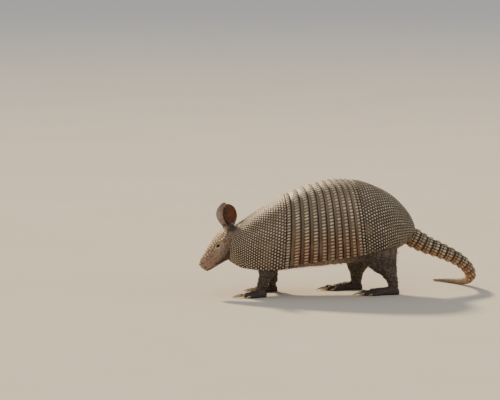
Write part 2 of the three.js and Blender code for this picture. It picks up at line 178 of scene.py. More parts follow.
def ramp(value, low, high):
    share = np.clip((value - low) / (high - low), 0, 1)
    return share * share * (3 - 2 * share)


# A curve through (place, value) pairs that makes no bumps of its own.
def curve(*pairs):
    place, value = np.array(pairs, float).T
    slopes = np.diff(value) / np.diff(place)
    before, after = np.append(slopes[0], slopes), np.append(slopes, slopes[-1])
    total = np.where(before * after > 0, before + after, 1)
    tangent = np.where(before * after > 0, 2 * before * after / total, 0)

    def at(x):
        i = np.clip(np.searchsorted(place, x, side="right") - 1, 0, len(place) - 2)
        step = place[i + 1] - place[i]
        t = np.clip((x - place[i]) / step, 0, 1)
        return (value[i] * (1 + 2 * t) * (1 - t) ** 2 + tangent[i] * step * t * (1 - t) ** 2
                + value[i + 1] * t * t * (3 - 2 * t) + tangent[i + 1] * step * t * t * (t - 1))
    return at


def signedPower(value, power):
    return np.sign(value) * np.abs(value) ** power


def newMaterial(name, roughness, specular=0.4):
    material = bpy.data.materials.new(name)
    material.use_nodes = True
    shader = material.node_tree.nodes["Principled BSDF"]
    shader.inputs["Roughness"].default_value = roughness
    shader.inputs["Specular IOR Level"].default_value = specular
    return material


# A new shader node; an input is given either a value or another node's socket.
def node(material, kind, inputs=(), **settings):
    made = material.node_tree.nodes.new(kind)
    for key, value in settings.items():
        setattr(made, key, value)
    for key, value in dict(inputs).items():
        if isinstance(value, bpy.types.NodeSocket):
            material.node_tree.links.new(value, made.inputs[key])
        else:
            made.inputs[key].default_value = value
    return made


def rgb(*levels):
    shares = [level / 255 for level in levels]
    return (*(c / 12.92 if c <= 0.04045 else ((c + 0.055) / 1.055) ** 2.4 for c in shares), 1.0)


def mixed(material, share, first, second, blend="MIX"):
    inputs = {0: share, 6: first, 7: second}
    return node(material, "ShaderNodeMix", inputs, data_type="RGBA", blend_type=blend).outputs[2]


def ranged(material, value, low, high, toLow=0.0, toHigh=1.0):
    inputs = {"Value": value, "From Min": low, "From Max": high, "To Min": toLow, "To Max": toHigh}
    return node(material, "ShaderNodeMapRange", inputs, interpolation_type="SMOOTHSTEP").outputs[0]


def reckoned(material, operation, first, second):
    return node(material, "ShaderNodeMath", {0: first, 1: second}, operation=operation).outputs[0]


def attribute(material, name, strength=1.0):
    share = node(material, "ShaderNodeAttribute", attribute_name=name).outputs["Fac"]
    return share if strength == 1.0 else reckoned(material, "MULTIPLY", share, strength)


def objectPlace(material):
    return node(material, "ShaderNodeTexCoord").outputs["Object"]


def noiseAt(material, scale, detail=3.0, roughness=0.55):
    inputs = {"Vector": objectPlace(material), "Scale": scale, "Detail": detail, "Roughness": roughness}
    return node(material, "ShaderNodeTexNoise", inputs).outputs[0]


def cellsAt(material, scale, feature="F1"):
    inputs = {"Vector": objectPlace(material), "Scale": scale}
    return node(material, "ShaderNodeTexVoronoi", inputs, feature=feature).outputs["Distance"]


def finish(material, colour, heights=(), roughness=None):
    tree = material.node_tree
    shader = tree.nodes["Principled BSDF"]
    tree.links.new(colour, shader.inputs["Base Color"])
    if roughness is not None:
        tree.links.new(roughness, shader.inputs["Roughness"])
    normal = None
    for height, distance, strength in heights:
        inputs = {"Height": height, "Distance": distance, "Strength": strength}
        bump = node(material, "ShaderNodeBump", inputs)
        if normal is not None:
            tree.links.new(normal, bump.inputs["Normal"])
        normal = bump.outputs[0]
    if normal is not None:
        tree.links.new(normal, shader.inputs["Normal"])
    return material


# Horny scutes: pale worn tops over a dark ground that is browner low on the flanks, and painted paler higher
# up and along the crest, for dust and a painted sheen of light.
def scuteMaterial(name, look):
    material = newMaterial(name, look["roughness"], look["specular"])
    rise = attribute(material, "rise")
    patches = noiseAt(material, 45, 4)
    grain = noiseAt(material, 700, 4, 0.65)
    ground = mixed(material, attribute(material, "low"), look["ground"], look["lowGround"])
    # away from the flanks, and most along the crest, the ground is painted paler for dust and a painted
    # sheen; the random patches are dust
    dustAndSheen = reckoned(material, "SUBTRACT", 1.0, attribute(material, "low"))
    dustAndSheen = reckoned(material, "MULTIPLY", dustAndSheen, look["dustAndSheen"])
    dustAndSheen = reckoned(material, "MAXIMUM", dustAndSheen, ranged(material, patches, 0.4, 0.75, 0.0, 0.7))
    ground = mixed(material, dustAndSheen, ground, look["dustAndSheenColour"])
    pale = mixed(material, attribute(material, "tone"), look["pale"], look["palest"])
    pale = mixed(material, ranged(material, patches, 0.4, 0.68), pale, look["worn"])
    pale = mixed(material, attribute(material, "low", 0.6), pale, look["lowPale"])
    ragged = reckoned(material, "MULTIPLY", reckoned(material, "SUBTRACT", grain, 0.5), 0.35)
    edge = reckoned(material, "ADD", rise, ragged)
    colour = mixed(material, ranged(material, edge, *look["edge"]), ground, pale)
    colour = mixed(material, ranged(material, rise, 0.0, look["groove"], 0.7, 0.0), colour, look["joint"])
    colour = mixed(material, attribute(material, "fore", 0.8), colour, look["joint"])
    speckle = ranged(material, noiseAt(material, 1500, 3, 0.7), 0.3, 0.7, 0.86, 1.08)
    shade = node(material, "ShaderNodeCombineColor", {0: speckle, 1: speckle, 2: speckle}).outputs[0]
    colour = mixed(material, 1.0, colour, shade, "MULTIPLY")
    scales = cellsAt(material, 620)
    shine = ranged(material, grain, 0.3, 0.7, look["roughness"] - 0.08, look["roughness"] + 0.12)
    return finish(material, colour, [(scales, 0.00018, 0.5), (grain, 0.0002, 0.6)], shine)


# The picture is 500 x 400; the view is on the animal's left side, a little from ahead and from above.
view = {"azimuth": -10, "elevation": 6, "distance": 8.0, "lens": 320, "sensor": 36,
        "right": -0.144, "up": 0.1674}


def addCamera():
    azimuth, elevation = math.radians(view["azimuth"]), math.radians(view["elevation"])
    level = math.cos(elevation)
    back = Vector((math.sin(azimuth) * level, -math.cos(azimuth) * level, math.sin(elevation)))
    right = Vector((math.cos(azimuth), math.sin(azimuth), 0))
    aim = right * view["right"] + back.cross(right) * view["up"] + Vector(frameShift) * mm
    clearSelection()
    bpy.ops.object.camera_add(location=aim + back * view["distance"])
    camera = bpy.context.active_object
    camera.rotation_euler = (-back).to_track_quat("-Z", "Y").to_euler()
    camera.data.lens, camera.data.sensor_width = view["lens"], view["sensor"]
    camera.data.clip_end = 200
    bpy.context.scene.camera = camera
    print("camera")


# where each stands, how wide it looks in degrees, strength and colour
lights = {
    "sun": [(-0.5, 1.5, 0.98), 7, 5.4, (1.0, 0.79, 0.50)],
    "front": [(-1.0, -2.2, 1.5), 24, 0.5, (1.0, 0.96, 0.90)],
    "far_end": [(2.4, -0.6, 1.2), 40, 0.3, (0.92, 0.96, 1.0)],
}
sky = {"colour": (0.98, 0.97, 0.96, 1), "strength": 0.44}


def addLights():
    for name, (place, wide, strength, colour) in lights.items():
        clearSelection()
        bpy.ops.object.light_add(type="SUN", location=place)
        lamp = bpy.context.active_object
        lamp.name = name
        lamp.rotation_euler = (-Vector(place)).to_track_quat("-Z", "Y").to_euler()
        lamp.data.angle = math.radians(wide)
        lamp.data.energy, lamp.data.color = strength, colour
    world = bpy.data.worlds.new("studio")
    bpy.context.scene.world = world
    world.use_nodes = True
    background = world.node_tree.nodes["Background"]
    background.inputs["Color"].default_value = sky["colour"]
    background.inputs["Strength"].default_value = sky["strength"]
    print("lights")


# The floor is pale near the animal and turns, far off, into the tone that meets the sky.
floorLook = {"size": 120, "pale": rgb(214, 207, 196), "paler": rgb(222, 216, 205), "near": 0.9, "far": 9.0}


def addFloor():
    clearSelection()
    bpy.ops.mesh.primitive_plane_add(size=floorLook["size"])
    floor = justMade("floor")
    skyTone = sky["strength"] * np.array(sky["colour"][:3])
    light = skyTone.copy()
    for place, _, strength, colour in lights.values():
        light += strength * Vector(place).normalized().z / math.pi * np.array(colour)
    material = newMaterial("pale_floor", 1.0, 0.0)
    middle = {0: objectPlace(material)}
    distance = node(material, "ShaderNodeVectorMath", middle, operation="LENGTH").outputs["Value"]
    paint = mixed(material, noiseAt(material, 3, 2), floorLook["paler"], floorLook["pale"])
    paint = mixed(material, ranged(material, distance, floorLook["near"], floorLook["far"]), paint,
                  (*(skyTone / light).tolist(), 1.0))
    floor.data.materials.append(finish(material, paint))
    print("floor")


# The shell's curves, each from the collar at the left to the tail's root at the right.
rimAngle = math.radians(118)  # from the back's midline round to the lower rim
squareness = 0.9
bandCount = 9
shingle = 1.5  # each band's rear edge over the next one's front
backHeight = curve((-192, 110), (-158, 135), (-115, 163), (-78, 183.5), (-36, 198.6), (14, 207.3),
                   (47, 204.2), (89, 189.4), (112, 176), (131, 158.5), (145, 140), (154, 121))
widestHeight = curve((-192, 88), (-118, 95), (-30, 102), (68, 108), (128, 111), (154, 112))
halfWidth = curve((-192, 47), (-158, 54), (-118, 63), (-78, 69.5), (-30, 75), (18, 77.5), (62, 76.5),
                  (98, 68), (126, 52.5), (142, 39), (150, 28.5), (154, 20))
rimHeight = curve((-192, 66), (-166, 53), (-128, 49), (-90, 51), (-76, 57), (-13, 66), (36, 72.5),
                  (64, 78), (85, 83.5), (103, 87.5), (125, 94), (138, 101), (154, 108))
collar = {"top": -157, "rim": -191, "bow": 3}
shoulderEdge = {"top": -78, "rim": -86, "bow": 1}
hipEdge = {"top": 29, "rim": 48, "bow": 1}
bandNarrowing = 0.045
rump = {"from": 84, "to": 153, "end": 151.6, "lap": 3.2}


def bodyPoint(x, angle, lift=0.0):
    turn = np.abs(angle)
    upper = turn <= math.pi / 2
    widest = widestHeight(x)
    drop = np.where(upper, backHeight(x) - widest + lift, (widest - rimHeight(x)) / -math.cos(rimAngle))
    y = np.sign(angle) * (halfWidth(x) + lift) * np.sin(turn) ** squareness
    z = widest + drop * signedPower(np.cos(turn), np.where(upper, squareness, 1))
    return np.stack(np.broadcast_arrays(x, y, z), -1)


# Between two edges: share 0 to 1 from the front one back, way -1 to 1 from left rim to right rim.
def shellPoint(front, rear, share, way, lift=0.0):
    def between(key):
        return front[key] + (rear[key] - front[key]) * share
    along = 1 - (1 - np.abs(way)) ** between("bow")
    return bodyPoint(between("top") + (between("rim") - between("top")) * along, way * rimAngle, lift)


def bandEdge(count):
    def span(n):
        return n * (1 - bandNarrowing * (n - 1) / 2)
    share = span(count) / span(bandCount)
    return {"top": shoulderEdge["top"] + (hipEdge["top"] - shoulderEdge["top"]) * share,
            "rim": shoulderEdge["rim"] + (hipEdge["rim"] - shoulderEdge["rim"]) * share, "bow": 1}


# The hip shield runs back to the tail, and its rim sweeps up over the tail's root.
def hipPoint(share, way):
    front = hipEdge["top"] + (hipEdge["rim"] - hipEdge["top"]) * np.abs(way)
    x = front + (rump["end"] - front) * share
    forwards = np.clip((rump["to"] - x) / (rump["to"] - rump["from"]), 0, 1) ** (1 / rump["lap"])
    rim = rimAngle * (1 - (1 - forwards) ** rump["lap"])
    return bodyPoint(x, way * rim, -shingle * (1 - ramp(share, 0, 0.14)))


# A plate's surface measured in mm: u back along it and v round it from the midline. The pitch of
# its scutes shrinks where the plate narrows; keep 0 holds every row to the rim, 1 holds the pitch.
mapGrid = {"rows": 64, "columns": 160, "ruler": 64}  # the plate's length is measured on this column


def plateMap(surface, keep, shareFrom=0.0, shareTo=1.0):
    rows, columns = mapGrid["rows"], mapGrid["columns"]
    shares, ways = np.linspace(shareFrom, shareTo, rows + 1), np.linspace(0, 1, columns + 1)
    grid = surface(shares[:, None], ways[None, :])
    steps = np.linalg.norm(np.diff(grid, axis=1), axis=2)
    lengths = np.concatenate([np.zeros((rows + 1, 1)), np.cumsum(steps, axis=1)], axis=1)
    half = lengths[:, -1]
    even = np.array([np.interp(ways, row / row[-1], ways) for row in lengths])
    extent = half.max() * (half / half.max()) ** keep
    scale = half / extent
    middle = grid[:, mapGrid["ruler"]]
    forward = np.linalg.norm(np.diff(middle, axis=0), axis=1) / (scale[1:] + scale[:-1]) * 2
    along = np.append(0, np.cumsum(forward))

    def point(u, v):
        row = np.interp(u, along, np.arange(rows + 1))
        share = shareFrom + (shareTo - shareFrom) * row / rows
        column = np.clip(np.abs(v) / np.interp(u, along, extent), 0, 1) * columns
        i, j = np.clip(row.astype(int), 0, rows - 1), np.clip(column.astype(int), 0, columns - 1)
        a, b = row - i, column - j
        way = ((1 - a) * ((1 - b) * even[i, j] + b * even[i, j + 1])
               + a * ((1 - b) * even[i + 1, j] + b * even[i + 1, j + 1]))
        return surface(share, np.sign(v) * way)
    return {"point": point, "length": along[-1], "half": lambda u: np.interp(u, along, extent)}


# Lays a flat sheet, in mm, on a plate's surface, its own height standing off along the normal.
def layOn(sheet, point, base, step=0.08):
    u, v, height = coordsOf(sheet).T
    here = point(u, v)
    uSafe = np.clip(u, u.min() + step, u.max() - step)
    along = point(uSafe + step, v) - point(uSafe - step, v)
    side = np.where(np.abs(v) > np.abs(v).max() - step, -np.sign(v) * step, 0)
    around = point(u, v + side + step) - point(u, v + side - step)
    normal = np.cross(along, around)
    normal /= np.linalg.norm(normal, axis=1)[:, None]
    setCoords(sheet, onPart(here + normal * (height + base)[:, None]))


# A honeycomb in mm whose columns run across, every second one half a cell on, with straight ends.
def honeycomb(columns, rows, pitch):
    radius = pitch / math.sqrt(3)
    pair = []
    for count, start in ((rows, 0.5), (rows + 1, 0.0)):
        clearSelection()
        place = (len(pair) * 1.5 * radius, (start - rows / 2) * pitch, 0)
        bpy.ops.mesh.primitive_circle_add(vertices=6, radius=radius, fill_type="NGON",
                                          rotation=(0, 0, math.pi / 6), location=place)
        pair.append(justMade("column"))
        repeat(pair[-1], count, (0, pitch, 0))
    sheet = joined("sheet", pair)
    repeat(sheet, columns // 2, (3 * radius, 0, 0))
    mergeDoubles(sheet, 0.01)
    places = coordsOf(sheet)
    places[:, 0] = np.clip(places[:, 0], -radius / 2, (1.5 * columns - 1) * radius) + radius / 2
    places[:, 1] = np.clip(places[:, 1], -rows * pitch / 2, rows * pitch / 2)
    setCoords(sheet, places)
    return sheet


def rectangles(lengths, rows, pitch):
    strips = []
    start = 0
    for length in lengths:
        clearSelection()
        place = (start + length / 2, (0.5 - rows / 2) * pitch, 0)
        bpy.ops.mesh.primitive_plane_add(size=1, location=place)
        bpy.ops.transform.resize(value=(length, pitch, 1))
        strips.append(justMade("strip"))
        repeat(strips[-1], rows, (0, pitch, 0))
        start += length
    sheet = joined("sheet", strips)
    mergeDoubles(sheet, 0.01)
    return sheet


# Turns the sheet's edge down and closes it underneath with one face, cut into a coarse grid.
def closeUnder(sheet, depth, lengthwise, across):
    places = coordsOf(sheet)
    longest, widest = places[:, 0].max(), np.abs(places[:, 1]).max()
    editRim(sheet)
    bpy.ops.mesh.extrude_region_move(TRANSFORM_OT_translate={"value": (0, 0, -depth)})
    bpy.ops.mesh.edge_face_add()
    cuts = [((longest * i / lengthwise, 0, 0), (1, 0, 0)) for i in range(1, lengthwise)]
    cuts += [((0, widest * (2 * i / across - 1), 0), (0, 1, 0)) for i in range(1, across)]
    for place, direction in cuts:
        objectMode()
        selectFaces(sheet, read(sheet.data.polygons, "center", 3)[:, 2] < -0.99 * depth)
        bpy.ops.object.mode_set(mode="EDIT")
        bpy.ops.mesh.bisect(plane_co=place, plane_no=direction)
    bpy.ops.mesh.select_all(action="SELECT")
    bpy.ops.mesh.normals_make_consistent(inside=False)
    objectMode()


# Draws rings in towards the middle of every wanted cell, each at its own height, so that a knob
# stands on a low surround. rings holds (share of the length, share of the width, height, roundness).
def raiseKnobs(sheet, wanted, rings, vary=0.08, jitter=0.0):
    count = len(sheet.data.polygons)
    setAttribute(sheet, "tone", dice.random(count), "FACE")
    setAttribute(sheet, "size", 1 + vary * dice.standard_normal(count).clip(-2, 2), "FACE")
    for name in ("moveU", "moveV"):
        setAttribute(sheet, name, jitter * dice.standard_normal(count).clip(-2, 2), "FACE")
    selectFaces(sheet, wanted)
    for number, (long, wide, height, roundness) in enumerate(rings):
        editMode(sheet)
        bpy.ops.mesh.inset(thickness=0.01, use_individual=True)
        objectMode()
        places = coordsOf(sheet)
        values = {key: read(sheet.data.attributes[key].data, "value") for key in ("size", "moveU", "moveV")}
        before = rings[number - 1] if number else (1, 1)
        for face in sheet.data.polygons:
            if not face.select:
                continue
            ids = list(face.vertices)
            middle = places[ids, :2].mean(0)
            size = values["size"][face.index] if number else 1
            arms = (places[ids, :2] - middle) * (long / before[0], wide / before[1])
            if number == 1:
                arms = arms * size
                middle = middle + (values["moveU"][face.index], values["moveV"][face.index])
            reach = np.linalg.norm(arms, axis=1)
            arms = arms * (1 - roundness + roundness * reach.min() * 1.08 / reach)[:, None]
            places[ids, :2] = middle + arms
            places[ids, 2] = height * (0.85 + 0.15 * size)
        setCoords(sheet, places)
    return sheet


def topFaces(sheet):
    faces = sheet.data.polygons
    return (read(faces, "center", 3)[:, 2] > -0.01) & (read(faces, "normal", 3)[:, 2] > 0.9)


# Moves every point but the edge's a little, so that no two scutes are alike.
def shakeInside(sheet, amount):
    editRim(sheet, "VERT")
    objectMode()
    places = coordsOf(sheet)
    edge = read(sheet.data.vertices, "select").astype(bool)
    places[:, :2] += np.where(edge[:, None], 0, amount * dice.uniform(-1, 1, (len(places), 2)))
    setCoords(sheet, places)


# Rounds the sheet and keeps how far each point stands up, as a share, for its colour.
def finishSheet(sheet, tallest, material):
    subdivided(sheet, 1)
    setAttribute(sheet, "rise", np.clip(coordsOf(sheet)[:, 2] / tallest, 0, 1))
    dress(sheet, material)


# The underside goes deeper along the rim, so that the shell looks thick from below.
def thickenRim(sheet, extra, depth, half):
    places = coordsOf(sheet)
    near = ramp(np.abs(places[:, 1]) / half(places[:, 0]), 0.95, 1.0)
    places[:, 2] -= np.where(places[:, 2] < -0.6 * depth, extra * near, 0)
    setCoords(sheet, places)


# Heights in mm; each ring is (share of the length, share of the width, height, roundness).
shieldScutes = {"pitch": 6.05, "knob": 0.95, "depth": 2.4, "rimExtra": 1.9, "base": -0.85, "shake": 0.32,
                "vary": 0.08, "jitter": 0.1, "cuts": (8, 26)}
shieldRings = [(0.64, 0.64, 0.26, 0.5), (0.40, 0.40, 0.88, 0.8)]
hipRings = [(0.62, 0.62, 0.26, 0.5), (0.37, 0.37, 0.88, 0.8)]
hemRings = [(0.94, 0.86, 0.2, 0.0), (0.86, 0.64, 0.42, 0.12), (0.76, 0.46, 0.95, 0.28)]
shellLook = {
    "roughness": 0.5, "specular": 0.45,
    "ground": rgb(44, 35, 27), "lowGround": rgb(46, 33, 25), "joint": rgb(30, 22, 17),
    "pale": rgb(178, 161, 135), "palest": rgb(224, 208, 180), "lowPale": rgb(192, 172, 145),
    "worn": rgb(154, 137, 113), "dustAndSheenColour": rgb(130, 113, 91), "dustAndSheen": 0.34,
    "edge": (0.38, 0.64), "groove": 0.12,  # where a scute turns pale, and its joint, by height
}


hipLook = {
    **shellLook, "edge": (0.5, 0.74), "ground": rgb(38, 31, 25), "lowGround": rgb(36, 27, 21),
    "dustAndSheenColour": rgb(128, 113, 92), "pale": rgb(186, 170, 146), "palest": rgb(232, 218, 194), "dustAndSheen": 0.18,
}


# 1 low on the flanks, 0 half way up and below 0 along the crest, where the ground is painted paler for dust
# and a painted sheen of light.
def lowShare(sheet, low, high):
    z = coordsOf(sheet)[:, 2]
    return 1 - ramp(z, low, high) - 1.6 * ramp(z, 0.135, 0.185)


# A honeycomb as long and wide as the plate, trimmed to its rim.
def scuteField(plate, pitch):
    widest = float(plate["half"](np.linspace(0, plate["length"], 65)).max())
    columns = 2 * round(plate["length"] / pitch / math.sqrt(3))
    sheet = honeycomb(columns, round(2 * widest / pitch), pitch)
    places = coordsOf(sheet)
    places[:, 0] *= plate["length"] / places[:, 0].max()
    places[:, 1] *= widest / places[:, 1].max()
    setCoords(sheet, places)
    trimToRim(sheet, plate["half"], pitch)
    return sheet


def shieldSheet(surface, keep, material, rings, shareFrom=0.0, shareTo=1.0):
    look = shieldScutes
    plate = plateMap(surface, keep, shareFrom, shareTo)
    sheet = scuteField(plate, look["pitch"])
    shakeInside(sheet, look["shake"])
    closeUnder(sheet, look["depth"], *look["cuts"])
    raiseKnobs(sheet, topFaces(sheet), rings, look["vary"], look["jitter"])
    thickenRim(sheet, look["rimExtra"], look["depth"], plate["half"])
    finishSheet(sheet, look["knob"], material)
    layOn(sheet, plate["point"], look["base"])
    setAttribute(sheet, "low", lowShare(sheet, 0.07, 0.13))
    return sheet


# Drops the cells that lie past the rim and draws the cut edge onto it.
def trimToRim(sheet, half, pitch):
    centres = read(sheet.data.polygons, "center", 3)
    selectFaces(sheet, np.abs(centres[:, 1]) > half(centres[:, 0]) - 0.3 * pitch)
    if read(sheet.data.polygons, "select").any():
        editMode(sheet)
        bpy.ops.mesh.delete(type="FACE")
        editRim(sheet, "VERT")
        objectMode()
        edge = read(sheet.data.vertices, "select").astype(bool)
        places = coordsOf(sheet)
        rim = half(places[:, 0])
        inner = (places[:, 0] > 0.1) & (places[:, 0] < places[:, 0].max() - 0.1)
        toRim = edge & inner & (np.abs(places[:, 1]) > rim - 1.1 * pitch)
        reach = np.where(toRim, rim, np.minimum(np.abs(places[:, 1]), rim))
        places[:, 1] = np.sign(places[:, 1]) * reach
        setCoords(sheet, places)
        mergeDoubles(sheet, 0.5)


# One row of long scutes, as along a band or a shield's edge.
def longScutes(surface, lengths, knobColumn, rows, material, shareFrom=0.0, shareTo=1.0, base=-0.95):
    plate = plateMap(surface, 0, shareFrom, shareTo)
    widest = float(plate["half"](0.0))
    pitch = 2 * widest / rows
    sheet = rectangles(lengths, rows, pitch)
    closeUnder(sheet, shieldScutes["depth"], 2, 26)
    start, end = sum(lengths[:knobColumn]), sum(lengths[:knobColumn + 1])
    centres = read(sheet.data.polygons, "center", 3)
    wanted = topFaces(sheet) & (centres[:, 0] > start) & (centres[:, 0] < end)
    raiseKnobs(sheet, wanted, hemRings, 0.05, 0.1)
    places = coordsOf(sheet)
    places[:, 0] *= plate["length"] / places[:, 0].max()
    setCoords(sheet, places)
    thickenRim(sheet, shieldScutes["rimExtra"], shieldScutes["depth"], plate["half"])
    finishSheet(sheet, shieldScutes["knob"], material)
    along = coordsOf(sheet)[:, 0]
    smooth = 0.22 * ramp(along, 0.8, 1.4) * (along < start)
    setAttribute(sheet, "rise", np.maximum(read(sheet.data.attributes["rise"].data, "value"), smooth))
    layOn(sheet, plate["point"], base)
    setAttribute(sheet, "low", lowShare(sheet, 0.08, 0.145))
    return sheet


# A finished piece moves with the root and takes the place of its nodes.
def keepPiece(piece, slot, *nodes):
    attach(piece, "root")
    if nodes:
        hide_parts(*nodes)


# The one row of long scutes along each shield's edge beside the bands: how many there are, its
# strips' lengths in mm, and the shares of the shield where it meets the honeycomb.
hem = {"rows": 63, "shoulder": [0.4, 6.8, 0.4], "hip": [0.4, 6.0, 0.4], "shoulderFrom": 0.915, "hipTo": 0.055,
       "hipFrom": 0.003, "hipKeep": 0.6}


def addShields():
    material = scuteMaterial("shield_scutes", shellLook)

    def shoulder(share, way):
        return shellPoint(collar, shoulderEdge, share, way)
    field = shieldSheet(shoulder, 0, material, shieldRings, 0, hem["shoulderFrom"])
    edge = longScutes(shoulder, hem["shoulder"], 1, hem["rows"], material, hem["shoulderFrom"], 1.0)
    shield = joined("shoulder_shield_scutes", [edge, field])
    keepPiece(shield, "shell", "shoulder_shield")
    print("shoulder shield:", len(shield.data.polygons), "faces")
    material = scuteMaterial("hip_scutes", hipLook)
    edge = longScutes(hipPoint, hem["hip"], 1, hem["rows"], material, hem["hipFrom"], hem["hipTo"])
    field = shieldSheet(hipPoint, hem["hipKeep"], material, hipRings, hem["hipTo"], 1.0)
    shield = joined("hip_shield_scutes", [edge, field])
    keepPiece(shield, "shell", "hip_shield")
    print("hip shield:", len(shield.data.polygons), "faces")


# Each band has a tucked and a smooth front strip, the scutes' strip and a rear edge, in mm.
bandScutes = {"rows": 60, "lengths": [1.5, 3.2, 8.1, 0.5], "knob": 2, "from": 0.025}
bandLook = {
    **shellLook, "ground": rgb(76, 66, 56), "lowGround": rgb(102, 64, 39), "dustAndSheenColour": rgb(132, 117, 97),
    "lowPale": rgb(176, 142, 108),
}


def addBands():
    look = bandScutes
    material = scuteMaterial("band_scutes", bandLook)
    for number in range(1, bandCount + 1):
        front, rear = bandEdge(number - 1), bandEdge(number)

        def surface(share, way):
            return shellPoint(front, rear, share, way, -shingle * (1 - share))
        band = longScutes(surface, look["lengths"], look["knob"], look["rows"], material, look["from"], 1.0)
        keepPiece(renamed(band, f"band_{number}_scutes"), "shell", f"band_{number}")
    print("bands:", bandCount, "of", len(band.data.polygons), "faces")


# Places on the head are measured back from the snout's end, sideways and up from its axis, in mm.
headPose = {"tip": (-236.5, 0, 52.5), "pitch": 45, "yaw": 10, "neck": (-168, 0, 110), "squareness": 0.92}
headRise = curve((0, 7.4), (2.5, 9.4), (10, 11.2), (20, 13), (31, 15.2), (42, 17.4), (54, 19),
                 (66, 19.6), (78, 18.6), (88, 15.4), (96, 10.5))
headDrop = curve((0, 8.6), (2.5, 10.8), (10, 12.6), (20, 15.6), (31, 19.4), (42, 23.4), (54, 26.6),
                 (66, 28.4), (78, 28.6), (88, 26), (96, 21))
headHalf = curve((0, 7.8), (2.5, 9.6), (10, 10.8), (20, 12.6), (31, 15.4), (42, 19), (54, 21.8), (66, 23.4),
                 (78, 23.4), (88, 20), (96, 15))
headTip, headNeck = np.array(headPose["tip"], float), np.array(headPose["neck"], float)
headPitch, headYaw = math.radians(headPose["pitch"]), math.radians(headPose["yaw"])
headForward = np.array([-math.cos(headPitch), 0, -math.sin(headPitch)])
headUp = np.array([-math.sin(headPitch), 0, math.cos(headPitch)])
headTurn = np.array(Matrix.Rotation(headYaw, 3, "Z"))
headUpTurned = headTurn @ headUp


def headPlace(back, side, up):
    back, side, up = (np.asarray(value, float)[..., None] for value in np.broadcast_arrays(back, side, up))
    local = headTip - headNeck - headForward * back + headUp * up + np.array([0, 1, 0]) * side
    return local @ headTurn.T + headNeck


def headPoint(back, turn, lift=0.0):
    rise = np.where(np.cos(turn) >= 0, headRise(back), headDrop(back))
    square = headPose["squareness"]
    return headPlace(back, (headHalf(back) + lift) * signedPower(np.sin(turn), square),
                     (rise + lift) * signedPower(np.cos(turn), square))


# Back, side and up of points given in mm.
def headCoords(points):
    local = (points - headNeck) @ headTurn - (headTip - headNeck)
    return -(local @ headForward), local[:, 1], local @ headUp


# The head shield, from the snout back over the brow, with a notch in its outline above each eye.
headScutes = {"from": 6, "to": 83, "halfAngle": 58, "pitch": 5.0, "shake": 1.0, "depth": 1.9,
              "base": 0.9, "sink": 1.15}
headOutline = curve((0, 0.70), (0.12, 0.84), (0.27, 0.86), (0.38, 0.76), (0.48, 0.63), (0.56, 0.70),
                    (0.7, 0.95), (0.85, 0.84), (1, 0.28))
headScuteSize = curve((0, 1.32), (0.3, 1.3), (0.55, 1.08), (1, 0.92))  # against the pitch
headRings = [(0.90, 0.90, 0.42, 0.05), (0.76, 0.76, 0.66, 0.15), (0.5, 0.5, 0.8, 0.3)]
headShieldLook = {
    **shellLook, "edge": (0.3, 0.62), "ground": rgb(84, 66, 54), "joint": rgb(62, 48, 39),
    "pale": rgb(204, 174, 132), "palest": rgb(240, 211, 164), "lowPale": rgb(174, 128, 112),
    "worn": rgb(168, 142, 120), "dustAndSheenColour": rgb(100, 84, 70), "dustAndSheen": 0.4,
}


# The same plate with its scutes drawn larger or smaller along it.
def stretched(plate, size):
    real = np.linspace(0, plate["length"], 400)
    flat = np.append(0, np.cumsum(np.diff(real) / size(real[1:] / plate["length"])))

    def truly(u):
        true = np.interp(u, flat, real)
        return true, size(true / plate["length"])

    def point(u, v):
        true, scale = truly(u)
        return plate["point"](true, v * scale)

    def half(u):
        true, scale = truly(u)
        return plate["half"](true) / scale
    return {"point": point, "length": flat[-1], "half": half}


def addHeadShield():
    look = headScutes
    material = scuteMaterial("head_scutes", headShieldLook)

    def surface(share, way):
        wide = math.radians(look["halfAngle"]) * headOutline(share)
        return headPoint(look["from"] + (look["to"] - look["from"]) * share, way * wide, look["base"])
    plate = stretched(plateMap(surface, 0.8), headScuteSize)
    sheet = scuteField(plate, look["pitch"])
    shakeInside(sheet, look["shake"])
    closeUnder(sheet, look["depth"], 8, 8)
    raiseKnobs(sheet, topFaces(sheet), headRings, 0.06, 0.12)
    finishSheet(sheet, 0.8, material)
    places = coordsOf(sheet)
    setAttribute(sheet, "low", 1 - ramp(places[:, 0], 8, 32))
    # the outermost scutes sink into the skin, so that no edge stands up
    rim = ramp(np.abs(places[:, 1]) / plate["half"](places[:, 0]), 0.78, 1.0)
    places[:, 2] -= look["sink"] * np.maximum(rim, 1 - ramp(places[:, 0], 0, 5))
    setCoords(sheet, places)
    layOn(sheet, plate["point"], 0)
    keepPiece(renamed(sheet, "head_shield_scutes"), "head_shell", "head_shield")
    print("head shield:", len(sheet.data.polygons), "faces")


# The tail's middle line, from the rump down to the floor and round, and its radius by length.
tailPath = np.array([(131, 0, 108), (154, 0, 96.5), (174, 0, 85.3), (197, 0, 75.5), (224, 0, 63),
                     (242, 3, 52), (256, 11, 39), (265, 26, 25.5), (266.5, 47, 14.6), (262, 71, 8),
                     (252, 96, 5.6), (238, 118, 4.2), (220, 138, 2.4)], float)
tailRadius = curve((0, 13), (0.04, 17.4), (0.1, 17.2), (0.17, 15.6), (0.35, 12.6), (0.6, 8.8),
                   (0.85, 5.4), (1, 2.6))
